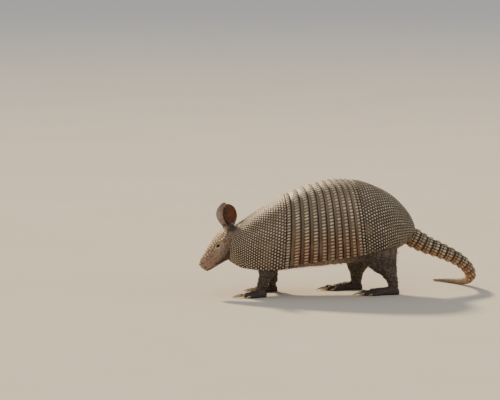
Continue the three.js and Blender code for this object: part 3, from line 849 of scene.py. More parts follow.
# each ring has a low dark front row, a middle one and a long one that stands over the next ring
tailRings = {"count": 12, "length": 14.6, "lap": 0.5, "drop": 1.9, "flare": 1.5, "flareAt": 0.86,
             "pitch": 5.6, "rows": [2.6, 4.6, 6.6], "sink": 0.85}
tailEnd = {"pitch": 4.0, "stop": 0.6, "sink": 0.5, "base": -0.3}
tailScuteRings = [(0.92, 0.88, 0.26, 0.05), (0.80, 0.70, 0.60, 0.2), (0.56, 0.42, 0.88, 0.4)]
tailLook = {
    **shellLook, "edge": (0.26, 0.66), "joint": rgb(46, 36, 28), "groove": 0.08,
    "ground": rgb(72, 58, 47), "lowGround": rgb(96, 62, 38), "dustAndSheenColour": rgb(92, 78, 64), "dustAndSheen": 0.35,
    "pale": rgb(184, 164, 136), "palest": rgb(216, 198, 168), "worn": rgb(142, 122, 98),
    "lowPale": rgb(172, 116, 70),
}


# A smooth line through the points: its places and directions, evenly spaced by length.
def evenLine(points, count=1500):
    ends = np.vstack([2 * points[0] - points[1], points, 2 * points[-1] - points[-2]])
    gaps = np.linalg.norm(np.diff(ends, axis=0), axis=1)[:, None] ** 0.5
    t = np.linspace(0, 1, 60, endpoint=False)[:, None]
    runs = []
    for i in range(len(points) - 1):
        a, b, c, d = ends[i:i + 4]
        g, h, k = gaps[i:i + 3]
        first = ((b - a) / g - (c - a) / (g + h) + (c - b) / h) * h
        last = ((c - b) / h - (d - b) / (h + k) + (d - c) / k) * h
        runs.append(b * (1 + 2 * t) * (1 - t) ** 2 + first * t * (1 - t) ** 2
                    + c * t * t * (3 - 2 * t) + last * t * t * (t - 1))
    line = np.vstack([*runs, points[-1:]])
    length = np.append(0, np.cumsum(np.linalg.norm(np.diff(line, axis=0), axis=1)))
    even = np.linspace(0, length[-1], count)
    places = np.stack([np.interp(even, length, line[:, k]) for k in range(3)], -1)
    directions = np.gradient(places, even, axis=0)
    return even, places, directions / np.linalg.norm(directions, axis=1)[:, None]


tailAt, tailPlaces, tailDirections = evenLine(tailPath)
tailLength = tailAt[-1]


# way goes from -1 under the tail by its left side over the top to 1.
def tailPoint(distance, way, extra=0.0):
    distance, way, extra = np.broadcast_arrays(distance, way, extra)
    distance = np.clip(distance, 0, tailLength)
    centre, forward = (np.stack([np.interp(distance, tailAt, table[:, k]) for k in range(3)], -1)
                       for table in (tailPlaces, tailDirections))
    right = np.cross(np.broadcast_to([0.0, 0, 1], forward.shape), forward)
    right /= np.linalg.norm(right, axis=-1)[..., None]
    up = np.cross(forward, right)
    radius = (tailRadius(distance / tailLength) + extra)[..., None]
    turn = (way * math.pi)[..., None]
    point = centre + radius * (right * np.sin(turn) + up * np.cos(turn))
    point[..., 2] = np.maximum(point[..., 2], 0)
    return point


# Joins a sheet that was laid round the tail into a tube and closes both ends towards the middle.
def closeTube(piece, start, end):
    mergeDoubles(piece, 0.00002)
    ways = np.arange(-8, 8) / 8
    middles = onPart(np.array([tailPoint(at, ways).mean(axis=0) for at in (start, end)]))
    for inwards in (0.7, 0.0):
        editRim(piece)
        bpy.ops.mesh.extrude_region_move()
        objectMode()
        places = coordsOf(piece)
        edge = read(piece.data.vertices, "select").astype(bool)
        nearEnd = np.linalg.norm(places - middles[1], axis=1) < np.linalg.norm(places - middles[0], axis=1)
        middle = middles[nearEnd.astype(int)]
        places[edge] = (middle + (places - middle) * inwards)[edge]
        setCoords(piece, places)
    mergeDoubles(piece, 0.00002)


def addTailRing(ring, material):
    look = tailRings
    start = ring * look["length"]
    end = start + look["length"] + look["lap"]
    slim = float(tailRadius(start / tailLength)) / 17

    def surface(share, way):
        back = np.minimum(share / look["flareAt"], 1) ** 0.8
        lift = (look["flare"] + look["drop"]) * back - look["drop"]
        return tailPoint(start + (end - start) * share, way, lift * (0.35 + 0.65 * slim) - look["sink"])
    plate = plateMap(surface, 0)
    half = float(plate["half"](0.0))
    sheet = rectangles(look["rows"], round(2 * half / look["pitch"]), look["pitch"])
    places = coordsOf(sheet)
    # the joints between the rows are drawn in and out a little, not along straight lines
    middle = (places[:, 0] > 0.1) & (places[:, 0] < places[:, 0].max() - 0.1)
    waves = 0.5 * np.cos(places[:, 1] / look["pitch"] * math.pi * 2 + places[:, 0])
    places[:, 0] += np.where(middle, waves, 0)
    places[:, 0] *= plate["length"] / places[:, 0].max()
    places[:, 1] *= half / places[:, 1].max()
    setCoords(sheet, places)
    raiseKnobs(sheet, topFaces(sheet), tailScuteRings, 0.05, 0.12)
    places = coordsOf(sheet)
    along = places[:, 0] / places[:, 0].max()
    places[:, 2] *= 0.35 + 0.65 * ramp(along, 0.1, 0.5)
    setCoords(sheet, places)
    finishSheet(sheet, 0.88, material)
    places = coordsOf(sheet)
    setAttribute(sheet, "low", ramp(np.abs(places[:, 1]) / places[:, 1].max(), 0.42, 0.72))
    setAttribute(sheet, "fore", 1 - ramp(places[:, 0] / places[:, 0].max(), 0.2, 0.45))
    layOn(sheet, plate["point"], 0)
    closeTube(sheet, start, end)
    keepPiece(renamed(sheet, f"tail_ring_{ring + 1}_scutes"), "tail_shell", f"tail_ring_{ring + 1}")


# The tail's end, without rings, in one closed taper.
def addTailEnd(material):
    start = tailRings["count"] * tailRings["length"]
    end = tailLength - tailEnd["stop"]

    def taper(share, way):
        return tailPoint(start + (end - start) * share, way, -tailEnd["sink"])
    plate = plateMap(taper, 1.0)
    sheet = scuteField(plate, tailEnd["pitch"])
    raiseKnobs(sheet, topFaces(sheet), [(a, b, 0.7 * h, r) for a, b, h, r in tailScuteRings], 0.05, 0.1)
    finishSheet(sheet, 0.62, material)
    places = coordsOf(sheet)
    places[:, 2] *= 1 - 0.5 * places[:, 0] / places[:, 0].max()
    setCoords(sheet, places)
    setAttribute(sheet, "low", ramp(np.abs(places[:, 1]) / places[:, 1].max(), 0.45, 0.75))
    layOn(sheet, plate["point"], tailEnd["base"])
    closeTube(sheet, start, end)
    keepPiece(renamed(sheet, "tail_end_scutes"), "tail_shell", "tail_end")


def addTail():
    material = scuteMaterial("tail_scutes", tailLook)
    for ring in range(tailRings["count"]):
        addTailRing(ring, material)
    addTailEnd(material)
    print("tail:", tailRings["count"], "rings and its end")


# A merged copy of a plain solid, to be worked on.
def copyOfNode(name, newName):
    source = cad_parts[name]
    piece = bpy.data.objects.new(newName, source.data.copy())
    bpy.context.scene.collection.objects.link(piece)
    piece.data.name = newName
    piece.data.materials.clear()
    mergeDoubles(piece, 0.00001)
    return piece


def toQuads(piece):
    editAll(piece)
    bpy.ops.mesh.tris_convert_to_quads(face_threshold=0.9, shape_threshold=1.2)
    objectMode()


clawLook = {"pale": rgb(198, 180, 148), "streak": rgb(158, 134, 102), "dirt": rgb(104, 82, 60),
            "roughness": 0.38, "specular": 0.5, "streaks": (60, 900, 900)}


def addClaws():
    look = clawLook
    material = newMaterial("claw_horn", look["roughness"], look["specular"])
    lengthwise = {"Vector": objectPlace(material), "Scale": look["streaks"]}
    place = node(material, "ShaderNodeMapping", lengthwise).outputs[0]
    streaks = node(material, "ShaderNodeTexNoise", {"Vector": place, "Scale": 1, "Detail": 3}).outputs[0]
    dirt = noiseAt(material, 180, 4)
    colour = mixed(material, ranged(material, streaks, 0.35, 0.65), look["pale"], look["streak"])
    colour = mixed(material, ranged(material, dirt, 0.45, 0.75), colour, look["dirt"])
    finish(material, colour, [(streaks, 0.0002, 0.5)])
    for name in sorted(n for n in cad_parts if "_claw_" in n):
        claw = copyOfNode(name, name + "_horn")
        toQuads(claw)
        subdivided(claw, 2)
        dress(claw, material)
        keepPiece(claw, "claw", name)
    print("claws")


# The eyeball by its place on the head, in mm; side is -1 for the left and 1 for the right.
eyeball = {"back": 46.0, "up": 10.4, "radius": 4.2, "sunk": 2.2, "roughness": 0.12, "specular": 0.3,
           "dark": rgb(10, 7, 6), "brown": rgb(22, 15, 11)}


def eyeTurn(side):
    height = eyeball["up"] / headRise(eyeball["back"])
    return side * math.acos(height ** (1 / headPose["squareness"]))


def eyeCentre(side):
    return headPoint(eyeball["back"], eyeTurn(side), -eyeball["sunk"])


def addEyes():
    look = eyeball
    material = newMaterial("eye", look["roughness"], look["specular"])
    finish(material, mixed(material, noiseAt(material, 400), look["dark"], look["brown"]))
    for side, name in ((-1, "left"), (1, "right")):
        clearSelection()
        bpy.ops.mesh.primitive_uv_sphere_add(segments=48, ring_count=24, radius=look["radius"] * mm,
                                             location=onPart(eyeCentre(side)))
        eye = justMade(f"eye_{name}_ball")
        dress(eye, material)
        keepPiece(eye, "eye", f"eye_{name}")
    print("eyes")


# One skin from copies of the flesh solids: the head's half at a fine mesh, the body's at a coarser one,
# joined by a bridge inside the collar.
skinBuild = {"headVoxel": 0.95, "bodyVoxel": 1.5, "swell": 0.45, "sink": 0.55, "seam": -153.6,
             "gap": 0.7, "smooth": 5}
legNames = [f"{leg}_{side}" for leg in ("fore_leg", "hind_leg") for side in ("left", "right")]
footNames = [name.replace("leg", "foot") for name in legNames]


def fleshCopy(name, levels):
    piece = copyOfNode(name, "flesh_" + name)
    if levels:
        toQuads(piece)
        subdivided(piece, levels)
    editAll(piece)
    bpy.ops.transform.shrink_fatten(value=skinBuild["swell"] * mm)
    objectMode()
    return piece


# An egg of flesh that fills a joint between two solids, its middle and half sizes in mm.
def filler(middle, sizes):
    clearSelection()
    place = onPart(np.array(middle, float))
    bpy.ops.mesh.primitive_uv_sphere_add(segments=24, ring_count=14, radius=mm, location=place)
    bpy.context.active_object.scale = sizes
    return justMade("filler")


def boxOf(name):
    low, high = (np.array(corner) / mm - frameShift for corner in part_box(name))
    return low, high


def remeshed(name, pieces, voxel):
    whole = joined(name, pieces)
    modify(whole, "REMESH", mode="VOXEL", voxel_size=voxel * mm)
    modify(whole, "SMOOTH", factor=0.5, iterations=skinBuild["smooth"])
    return whole


# Cuts away what lies past a plane, but only above the feet.
def cutAway(piece, place, direction):
    selectFaces(piece, read(piece.data.polygons, "center", 3)[:, 2] > 0.03)
    editMode(piece)
    bpy.ops.mesh.bisect(plane_co=place, plane_no=direction, clear_outer=True)
    objectMode()


# the neck's slack skin, which fills the collar's mouth and rolls up to its inner face
collarSkin = {"middle": (-156, 0, 92), "sizes": (23, 46, 38), "roll": 7.4, "in": 0.075, "depth": 9.4,
              "reach": 0.9}


def collarFillers():
    look = collarSkin
    ways = np.linspace(-look["reach"], look["reach"], 31)
    places = shellPoint(collar, shoulderEdge, look["in"], ways, -look["depth"])
    return [filler(look["middle"], look["sizes"]), *(filler(place, [look["roll"]] * 3) for place in places)]


# What fills the joints: middles, then half sizes, in mm. The nape and the ears' roots are measured
# on the head; a thigh's and an ankle's sizes go with the leg.
joints = {
    "socket": 0.2, "nape": [(84, 0, -4), (17, 17, 17)], "earRoot": [(85, 10.5, 14.5), (6.5, 5.5, 6.5)],
    "neckInHead": [(-150, 0, 92), (12, 36, 33)], "neckInBody": [(-150, 0, 92), (14, 36, 33)],
    "tailRoot": [(140, 0, 104), (9, 30, 15)],
    "thigh": {"in": 0.94, "below": 8, "wide": 0.8, "tall": 17},
    "ankle": {"ahead": 9.5, "up": 12, "sizes": (7, 7.5, 7)},
}


# The head's half, with sockets round the eyeballs.
def headSkin():
    fillers = [filler(eyeCentre(side), [eyeball["radius"] + joints["socket"]] * 3) for side in (-1, 1)]
    place, sizes = joints["nape"]
    fillers.append(filler(headPlace(*place), sizes))
    fillers += [filler(*joints["neckInHead"]), *collarFillers()]
    (back, out, up), sizes = joints["earRoot"]
    fillers += [filler(headPlace(back, side * out, up), sizes) for side in (-1, 1)]
    copies = [fleshCopy(name, 1) for name in ("head", "neck", "ear_left", "ear_right")]
    return remeshed("skin", [*fillers, *copies], skinBuild["headVoxel"])


# The body's half: the neck, the tail's root, the thighs and upper arms, and the ankles and wrists.
def bodySkin():
    fillers = [filler(*joints["neckInBody"]), filler(*joints["tailRoot"]), *collarFillers()]
    thigh, ankle = joints["thigh"], joints["ankle"]
    for name in legNames:
        low, high = boxOf(name)
        (x, y, _), half = (low + high) / 2, (high - low) / 2
        sizes = (half[0] * thigh["wide"], half[1] * thigh["wide"], thigh["tall"])
        fillers.append(filler((x, y * thigh["in"], high[2] - thigh["below"]), sizes))
        low, high = boxOf(name.replace("leg", "foot"))
        place = (high[0] - ankle["ahead"], (low[1] + high[1]) / 2, ankle["up"])
        fillers.append(filler(place, ankle["sizes"]))
    copies = [fleshCopy("neck", 1), fleshCopy("trunk", 1), *(fleshCopy(name, 1) for name in legNames),
              *(fleshCopy(name, 0) for name in footNames)]
    return remeshed("body", [*fillers, *copies], skinBuild["bodyVoxel"])


def rawSkin():
    head, body = headSkin(), bodySkin()
    cutAway(head, onPart(np.array([skinBuild["seam"] - skinBuild["gap"], 0, 0])), (1, 0, 0))
    cutAway(body, onPart(np.array([skinBuild["seam"], 0, 0])), (-1, 0, 0))
    print("head skin:", len(head.data.polygons), "faces; body skin:", len(body.data.polygons), "faces")
    thinHidden(body)
    skin = joined("skin", [body, head])
    editRim(skin)
    bpy.ops.mesh.bridge_edge_loops()
    bpy.ops.mesh.select_all(action="SELECT")
    bpy.ops.transform.shrink_fatten(value=-skinBuild["sink"] * mm)
    objectMode()
    return skin


# The flesh under the shell is never seen, so its mesh is thinned.
def thinHidden(body):
    places = mmPlaces(body)
    x = np.clip(places[:, 0], -192, 154)
    hidden = (places[:, 2] > rimHeight(x) + 9) & (places[:, 0] < 132) & (places[:, 0] > -151)
    group = body.vertex_groups.new(name="hidden")
    group.add(np.nonzero(hidden)[0].tolist(), 1.0, "REPLACE")
    modify(body, "DECIMATE", ratio=1 - 0.96 * hidden.mean(), vertex_group="hidden")
    body.vertex_groups.clear()


# A soft random field over points in mm, about one bump to each size.
def wobble(points, size, seed, count=8):
    waves = np.random.default_rng(seed)
    total = np.zeros(len(points))
    for _ in range(count):
        direction = waves.normal(size=3)
        direction *= waves.uniform(0.6, 1.5) * 2 * math.pi / size / np.linalg.norm(direction)
        total += np.sin(points @ direction + waves.uniform(0, 6.28))
    return total / math.sqrt(count)


# Separate small bumps: what of such a field stands above a level.
def bumps(points, size, seed, level):
    return np.maximum(wobble(points, size, seed, 12) - level, 0)


# Folds so many mm apart.
def ripples(along, spacing):
    return np.sin(along * 2 * math.pi / spacing)


def bell(value, middle, width):
    return np.exp(-((value - middle) / width) ** 2)


# The lids' slit: half its length and half its height in mm, its slant in degrees, and how far from
# the eye's middle the skin's mesh is made finer.
lids = {"halfLength": 4.4, "opening": 2.5, "thickness": 0.7, "slant": 16, "reach": 8.6, "blend": 1.1}


# The eyeball's own axes: along the slit, across it, and outwards.
def eyeAxes(side):
    at, turn = eyeball["back"], eyeTurn(side)
    back = headPoint(at + 0.5, turn) - headPoint(at - 0.5, turn)
    outward = np.cross(back, headPoint(at, turn + 0.02) - headPoint(at, turn - 0.02))
    outward /= np.linalg.norm(outward)
    back /= np.linalg.norm(back)
    slant = math.radians(lids["slant"])
    downward = np.cross(outward, back) * side
    return eyeCentre(side), back * math.cos(slant) + downward * math.sin(slant), outward


def refineNear(skin, centre, reach):
    middles = read(skin.data.polygons, "center", 3) / mm - frameShift
    selectFaces(skin, np.linalg.norm(middles - centre, axis=1) < reach)
    editMode(skin)
    bpy.ops.mesh.subdivide(number_cuts=1, smoothness=0)
    objectMode()


# Draws the skin over the eyeball as two lids, with a rim at the slit and rings of folds round it.
def shapeEye(skin, side):
    centre, along, outward = eyeAxes(side)
    radius, halfLength, k = eyeball["radius"], lids["halfLength"], lids["blend"]
    surface = centre + outward * radius
    refineNear(skin, surface, lids["reach"])
    refineNear(skin, surface, lids["reach"] * 0.72)
    across = np.cross(outward, along)
    places = mmPlaces(skin)
    near = np.linalg.norm(places - surface, axis=1) < 16
    a, b, height = (np.array([along, across, outward]) @ (places[near] - centre).T)
    reach = np.hypot(a, b)
    ball = np.sqrt(np.maximum(radius ** 2 - reach ** 2, 0))
    lid = np.sqrt(np.maximum((radius + lids["thickness"]) ** 2 - reach ** 2, 0))
    blend = np.clip(0.5 + (lid - height) / (2 * k), 0, 1)
    target = height * (1 - blend) + lid * blend + k * blend * (1 - blend)
    target = np.where(reach < radius + 1.5, target, height)
    slit = np.abs(b) - lids["opening"] * np.maximum(1 - (a / halfLength) ** 2, 0)
    target += 0.30 * bell(slit, 0.35, 0.32) * (np.abs(a) < halfLength + 0.6)
    ring = np.hypot(a / 5.9, b / 4.5)
    target -= 0.55 * bell(ring, 0.86, 0.09) + 0.45 * bell(ring, 1.22, 0.11) - 0.35 * bell(ring, 1.04, 0.09)
    drop = ramp(-slit, -0.06, 0.16) * (np.abs(a) < halfLength)
    target = target * (1 - drop) + (ball - 1.0) * drop
    places[near] += outward * (target - height)[:, None]
    setCoords(skin, onPart(places))


# The face's relief: how far each thing stands out or goes in, in mm; the jaw is let down.
face = {"jaw": 2.6, "folds": 0.34, "throat": 0.5, "mouth": 1.0, "lip": 0.45, "chin": 0.7,
        "nostril": 2.3, "nostrilRim": 0.55, "padRim": 0.4, "padGroove": 0.35, "warts": 0.42,
        "cheekScales": 0.36, "soft": 0.25}


def shapeHead(skin):
    places = mmPlaces(skin)
    normals = normalsOf(skin)
    back, side, up = headCoords(places)
    onHead = ramp(-places[:, 0], 152, 160) * (up < headRise(np.clip(back, 0, 96)) + 1.5) * (back < 100)
    onHead *= places[:, 2] > 30
    jaw = onHead * ramp(-up, 0, 8) * (1 - ramp(back, 44, 66))
    places -= headUpTurned * (face["jaw"] * jaw)[:, None]
    push = np.zeros(len(places))
    cheek = onHead * ramp(np.abs(side), 5, 11)
    # folds behind the eye and down the cheek and throat
    fold = ripples(back + 0.35 * up + 2.2 * wobble(places, 22, 3), 4.6)
    push += face["folds"] * fold * cheek * ramp(back, 50, 60) * (1 - 0.4 * ramp(up, -6, 4))
    throat = ripples(back + 2.5 * wobble(places, 26, 4), 6.5)
    push += face["throat"] * throat * onHead * ramp(-up, 8, 16) * ramp(back, 34, 50)
    # the mouth's line and the chin under it
    lip = -6.2 - 0.17 * back + 0.3 * np.sin(back * 0.35)
    mouth = onHead * ramp(back, 2.5, 5) * (1 - ramp(back, 35, 39))
    push -= face["mouth"] * mouth * bell(up, lip, 0.75)
    push += face["lip"] * mouth * bell(up, lip + 1.9, 1.3)
    push -= face["chin"] * onHead * (1 - ramp(back, 3, 9)) * (up < lip)
    # nostrils, opening sideways at the front corners of the snout
    gap = np.hypot((back - 3.2 - 0.5 * (up + 1.0)) / 1.5, (up + 1.0) / 2.1)
    corner = onHead * (np.abs(side) > 2.5)
    push -= face["nostril"] * corner * (1 - ramp(gap, 0.35, 1.0))
    push += face["nostrilRim"] * corner * bell(gap, 1.5, 0.4)
    # a low rim round the snout's end pad, and small warts on the snout and lips
    push += face["padRim"] * onHead * bell(back, 1.6, 0.9)
    push -= face["padGroove"] * onHead * bell(back, 4.6, 1.2) * (np.abs(up + 1) > 3)
    warts = bumps(places, 3.2, 5, 0.35) * (1 - ramp(back, 40, 60)) * (0.4 + 0.6 * (np.abs(side) > 3))
    push += face["warts"] * warts * onHead
    push += face["cheekScales"] * bumps(places, 4.4, 6, 0.2) * cheek * ramp(back, 30, 44)
    places += normals * (push + face["soft"] * wobble(places, 9, 7) * onHead)[:, None]
    setCoords(skin, onPart(places))
    return push


# The same for the body and the legs.
hide = {"folds": 0.55, "knees": 0.42, "knobs": 0.5, "warts": 0.7, "soft": 0.5}


def shapeBody(skin):
    places = mmPlaces(skin)
    normals = normalsOf(skin)
    x, _, z = places.T
    body = np.maximum(ramp(x, -150, -140), z < 30)
    leg = body * (1 - ramp(z, 50, 66))
    push = np.zeros(len(places))
    # slack folds of the belly and flank, and of the knees and elbows
    folds = ripples(x + 5 * wobble(places, 45, 12), 11)
    push += hide["folds"] * folds * body * ramp(z, 48, 60)
    knees = ripples(z + 0.3 * x + 3 * wobble(places, 24, 13), 7)
    push += hide["knees"] * knees * leg * ramp(z, 14, 22)
    push += hide["knobs"] * bumps(places, 6.2, 14, 0.1) * leg * ramp(z, 5, 12)
    push += hide["warts"] * bumps(places, 7.5, 15, 0.7) * body * (1 - leg)
    offFloor = ramp(z, 1.5, 5)
    push *= offFloor
    soft = hide["soft"] * wobble(places, 30, 11) * body * offFloor
    places += normals * (push + soft)[:, None]
    places[:, 2] = np.maximum(places[:, 2], 0.0)
    setCoords(skin, onPart(places))
    return push


# The ears' relief in mm; the knob and the canal sit at their own places back and up the head.
earRelief = {"ridges": 0.25, "warts": 0.08, "soft": 0.16, "knob": 2.2, "knobAt": (92.0, 18.6),
             "canal": 2.4, "canalAt": (88.6, 14.6), "smoothSteps": 80}


# Shares of ear and of its hollow inside for every point, from places and normals.
def earShares(places, normals):
    x, y, z = places.T
    ear = ramp(z, 124.5, 129.5) * ramp(-x, 168, 171)
    outward = np.where(y < -4, -normals[:, 1], normals[:, 1]) + 0.25 * normals[:, 0]
    return ear, ear * ramp(outward, -0.15, 0.25)


# Evens out the ears' rims: every point goes towards its neighbours' middle and nearly as far back.
def smoothEars(skin):
    places = mmPlaces(skin)
    ear = ramp(places[:, 2], 127, 134)
    ends = read(skin.data.edges, "vertices", 2).astype(int)
    ends = ends[ear[ends].min(axis=1) > 0]
    count = np.maximum(np.bincount(ends.ravel(), minlength=len(places)), 1)[:, None]
    for step in range(earRelief["smoothSteps"]):
        total = np.zeros_like(places)
        np.add.at(total, ends[:, 0], places[ends[:, 1]])
        np.add.at(total, ends[:, 1], places[ends[:, 0]])
        move = np.where(ear[:, None] > 0, total / count - places, 0)
        places += (0.5 if step % 2 == 0 else -0.52) * ear[:, None] * move
    setCoords(skin, onPart(places))


def shapeEars(skin):
    places = mmPlaces(skin)
    normals = normalsOf(skin)
    ear, inside = earShares(places, normals)
    back, side, up = headCoords(places)
    height, sideways = places[:, 2], np.abs(normals[:, 1])  # the rims face up, and stay smooth
    ridges = ripples(height + 2 * wobble(places, 20, 31), 4.4) * ramp(height, 134, 142)
    push = earRelief["ridges"] * ridges * inside * ramp(sideways, 0.6, 0.85)
    push += earRelief["warts"] * bumps(places, 3.4, 33, 0.3) * ear * ramp(sideways, 0.5, 0.8)
    near = inside * (np.abs(side) < 26)
    knobBack, knobUp = earRelief["knobAt"]
    push += earRelief["knob"] * near * bell(back, knobBack, 2.4) * bell(up, knobUp, 2.2)
    canalBack, canalUp = earRelief["canalAt"]
    push -= earRelief["canal"] * near * bell(back, canalBack, 2.2) * bell(up, canalUp, 2.4)
    places += normals * (push + earRelief["soft"] * wobble(places, 16, 32) * ear)[:, None]
    setCoords(skin, onPart(places))
    return push


def addSkin():
    skin = rawSkin()
    for side in (-1, 1):
        shapeEye(skin, side)
    smoothEars(skin)
    crease = shapeHead(skin) + shapeBody(skin) + shapeEars(skin)
    paintSkin(skin, crease)
    dress(skin, skinMaterial())
    keepPiece(skin, "skin", "head", "neck", "trunk", "ear_left", "ear_right", *legNames, *footNames)
    print("skin:", len(skin.data.polygons), "faces")
    return skin


# What grows where: shares of pink, dark and ear skin, and how deep a point lies in a fold, which sets the
# painted shade in the creases.
def paintSkin(skin, push):
    places = mmPlaces(skin)
    x, _, z = places.T
    back, _, up = headCoords(places)
    front = ramp(-x, 150, 158) * (z > 30)
    ear, inside = earShares(places, normalsOf(skin))
    bare = front * (1 - ear)
    pink = front * (1 - ramp(back, 8, 48)) * (0.75 + 0.25 * wobble(places, 12, 21))
    pink = np.maximum(pink, 0.7 * front * bell(back, 61, 6) * bell(up, -1, 5))
    # painted shade under the jaw, dark patches over the cheeks, and dark behind the head except on the belly
    dark = bare * (1 - ramp(up, -15, -4)) * ramp(back, 10, 30)
    dark = np.maximum(dark, 0.75 * bare * ramp(-up, 5, 9) * ramp(wobble(places, 14, 22), -0.2, 0.6))
    dark = np.maximum(dark, 0.4 * bare * (back < 80) * ramp(wobble(places, 8, 23, 12), 0.2, 1.1))
    belly = (1 - front) * ramp(x, -108, -52) * (1 - ramp(x, -6, 52)) * ramp(z, 40, 54)
    dark = np.clip(dark + (1 - front) * (1 - belly) * (1 - 0.4 * ramp(z, 62, 88)), 0, 1)
    # pale lids and a ring of painted shade in the crease round them, and dark at the ears' roots
    lid = np.zeros(len(places))
    for side in (-1, 1):
        root = np.linalg.norm(places - headPlace(86, side * 11, 12.5), axis=1)
        dark = np.maximum(dark, (1 - ramp(root, 5, 13)) * (1 - 0.3 * inside))
        centre, along, outward = eyeAxes(side)
        a, b, height = np.array([along, np.cross(outward, along), outward]) @ (places - centre).T
        ring, outside = np.hypot(a / 5.6, b / 4.5), height > 0
        pale = np.maximum(bell(ring, 0.95, 0.3), 0.55 * bell(ring, 1.62, 0.16))
        lid = np.maximum(lid, pale * outside)
        # painted shade in the crease round the lids
        dark = np.maximum(dark, 0.8 * bell(ring, 1.32, 0.1) * outside)
    # the skin's roll into the collar's top is painted dark, as painted shade under the collar's edge
    rollTop = bare * ramp(z, 118, 126) * ramp(x, -172, -166)
    dark = np.maximum(dark, 0.7 * rollTop)
    # the canal is painted dark as shade in the hole; the knob before it is pink
    knobBack, knobUp = earRelief["knobAt"]
    canalBack, canalUp = earRelief["canalAt"]
    knob = inside * bell(back, knobBack, 2.2) * bell(up, knobUp, 2.0)
    canal = inside * bell(back, canalBack, 3.2) * bell(up, canalUp, 3.4)
    shares = {
        "pink": np.maximum(pink, knob),
        # dark skin, together with painted shade under the jaw, in the crease round the lids, in the ears'
        # canals and at the collar's top
        "dark": np.maximum(dark * (1 - lid), canal),
        "ear": ear,
        # the ear's hollow: its own reddish brown, painted darker as shade in the hollow
        "inside": inside * (1 - 0.8 * knob),
        "glow": 0.8 * inside * bell(z, 148, 10) * bell(x, -182, 8),  # light through the ear
        "lid": lid,
        "belly": belly,
        "leg": (1 - front) * (1 - ramp(z, 48, 74)),
        # painted shade: points pushed in by the relief (folds, creases, the mouth's line, the nostrils) are
        # painted darker
        "fold": 0.5 + push * (0.9 - 0.45 * (1 - front)),
    }
    for name, values in shares.items():
        setAttribute(skin, name, np.clip(values, 0, 1))


skinLook = {
    "brown": rgb(164, 139, 114), "grey": rgb(140, 127, 114), "pink": rgb(158, 128, 112),
    "dark": rgb(78, 66, 58), "darkest": rgb(48, 40, 36), "leg": rgb(44, 38, 36),
    "belly": rgb(170, 140, 112), "bellyPink": rgb(160, 124, 102), "ear": rgb(128, 104, 96),
    # inside and deep: the ear's hollow in its own reddish brown, painted darker as shade in the hollow
    "earPale": rgb(158, 146, 142), "inside": rgb(98, 68, 52), "deep": rgb(70, 44, 33),
    # fold: the colour of painted shade in the creases, also used for the gaps between the skin's scales
    "glow": rgb(116, 62, 28), "lid": rgb(222, 202, 176), "fold": rgb(44, 34, 29),
    "roughness": 0.62, "specular": 0.35, "subsurface": 0.12, "radius": (0.003, 0.0012, 0.0007),
}


def skinMaterial():
    look = skinLook
    material = newMaterial("armadillo_skin", look["roughness"], look["specular"])
    shader = material.node_tree.nodes["Principled BSDF"]
    shader.inputs["Subsurface Weight"].default_value = look["subsurface"]
    shader.inputs["Subsurface Radius"].default_value = look["radius"]
    shader.inputs["Subsurface Scale"].default_value = 1.0
    patches, grain = noiseAt(material, 70, 4), noiseAt(material, 900, 4, 0.6)
    colour = mixed(material, ranged(material, patches, 0.35, 0.65), look["brown"], look["grey"])
    colour = mixed(material, attribute(material, "pink"), colour, look["pink"])
    tan = mixed(material, ranged(material, patches, 0.35, 0.65), look["belly"], look["bellyPink"])
    colour = mixed(material, attribute(material, "belly"), colour, tan)
    colour = mixed(material, attribute(material, "lid", 0.9), colour, look["lid"])
    ear = mixed(material, ranged(material, patches, 0.3, 0.7), look["ear"], look["earPale"])
    colour = mixed(material, attribute(material, "ear"), colour, ear)
    # the ear's hollow, painted dark for its own colour and as painted shade, in stains
    stains = ranged(material, noiseAt(material, 180, 3), 0.35, 0.65)
    inside = mixed(material, stains, look["inside"], look["deep"])
    inside = mixed(material, attribute(material, "glow"), inside, look["glow"])
    colour = mixed(material, attribute(material, "inside"), colour, inside)
    stains = ranged(material, noiseAt(material, 160, 3), 0.35, 0.65)
    # the dark skin's colour, which also paints the shade under the jaw, round the lids, in the ears' canals
    # and at the collar's top
    darkSkinAndShade = mixed(material, stains, look["dark"], look["darkest"])
    darkSkinAndShade = mixed(material, attribute(material, "leg", 0.75), darkSkinAndShade, look["leg"])
    colour = mixed(material, attribute(material, "dark", 0.9), colour, darkSkinAndShade)
    # painted shade in the creases, darker the deeper a point lies
    deep = ranged(material, attribute(material, "fold"), 0.5, 0.12)
    colour = mixed(material, reckoned(material, "MULTIPLY", deep, 0.75), colour, look["fold"])
    scales = cellsAt(material, 420)
    onBody = reckoned(material, "SUBTRACT", 1.0, attribute(material, "ear"))
    gaps = reckoned(material, "MULTIPLY", ranged(material, scales, 0.35, 0.62, 0.0, 0.3), onBody)
    colour = mixed(material, gaps, colour, look["fold"])
    raised = reckoned(material, "MULTIPLY", reckoned(material, "SUBTRACT", 1.0, scales), onBody)
    shine = ranged(material, grain, 0.3, 0.7, 0.5, 0.72)
    rough = noiseAt(material, 260, 5, 0.65)
    heights = [(raised, 0.0005, 0.6), (rough, 0.0006, 0.5), (grain, 0.0002, 0.4)]
    return finish(material, colour, heights, shine)


# Scales and hairs find their place on the bake map through this unwrap of the skin.
def unwrap(skin):
    editAll(skin)
    bpy.ops.uv.smart_project(angle_limit=math.radians(66), island_margin=0.002)
    objectMode()
    skin.data.uv_layers[0].name = "unwrap"
    print("unwrapped")


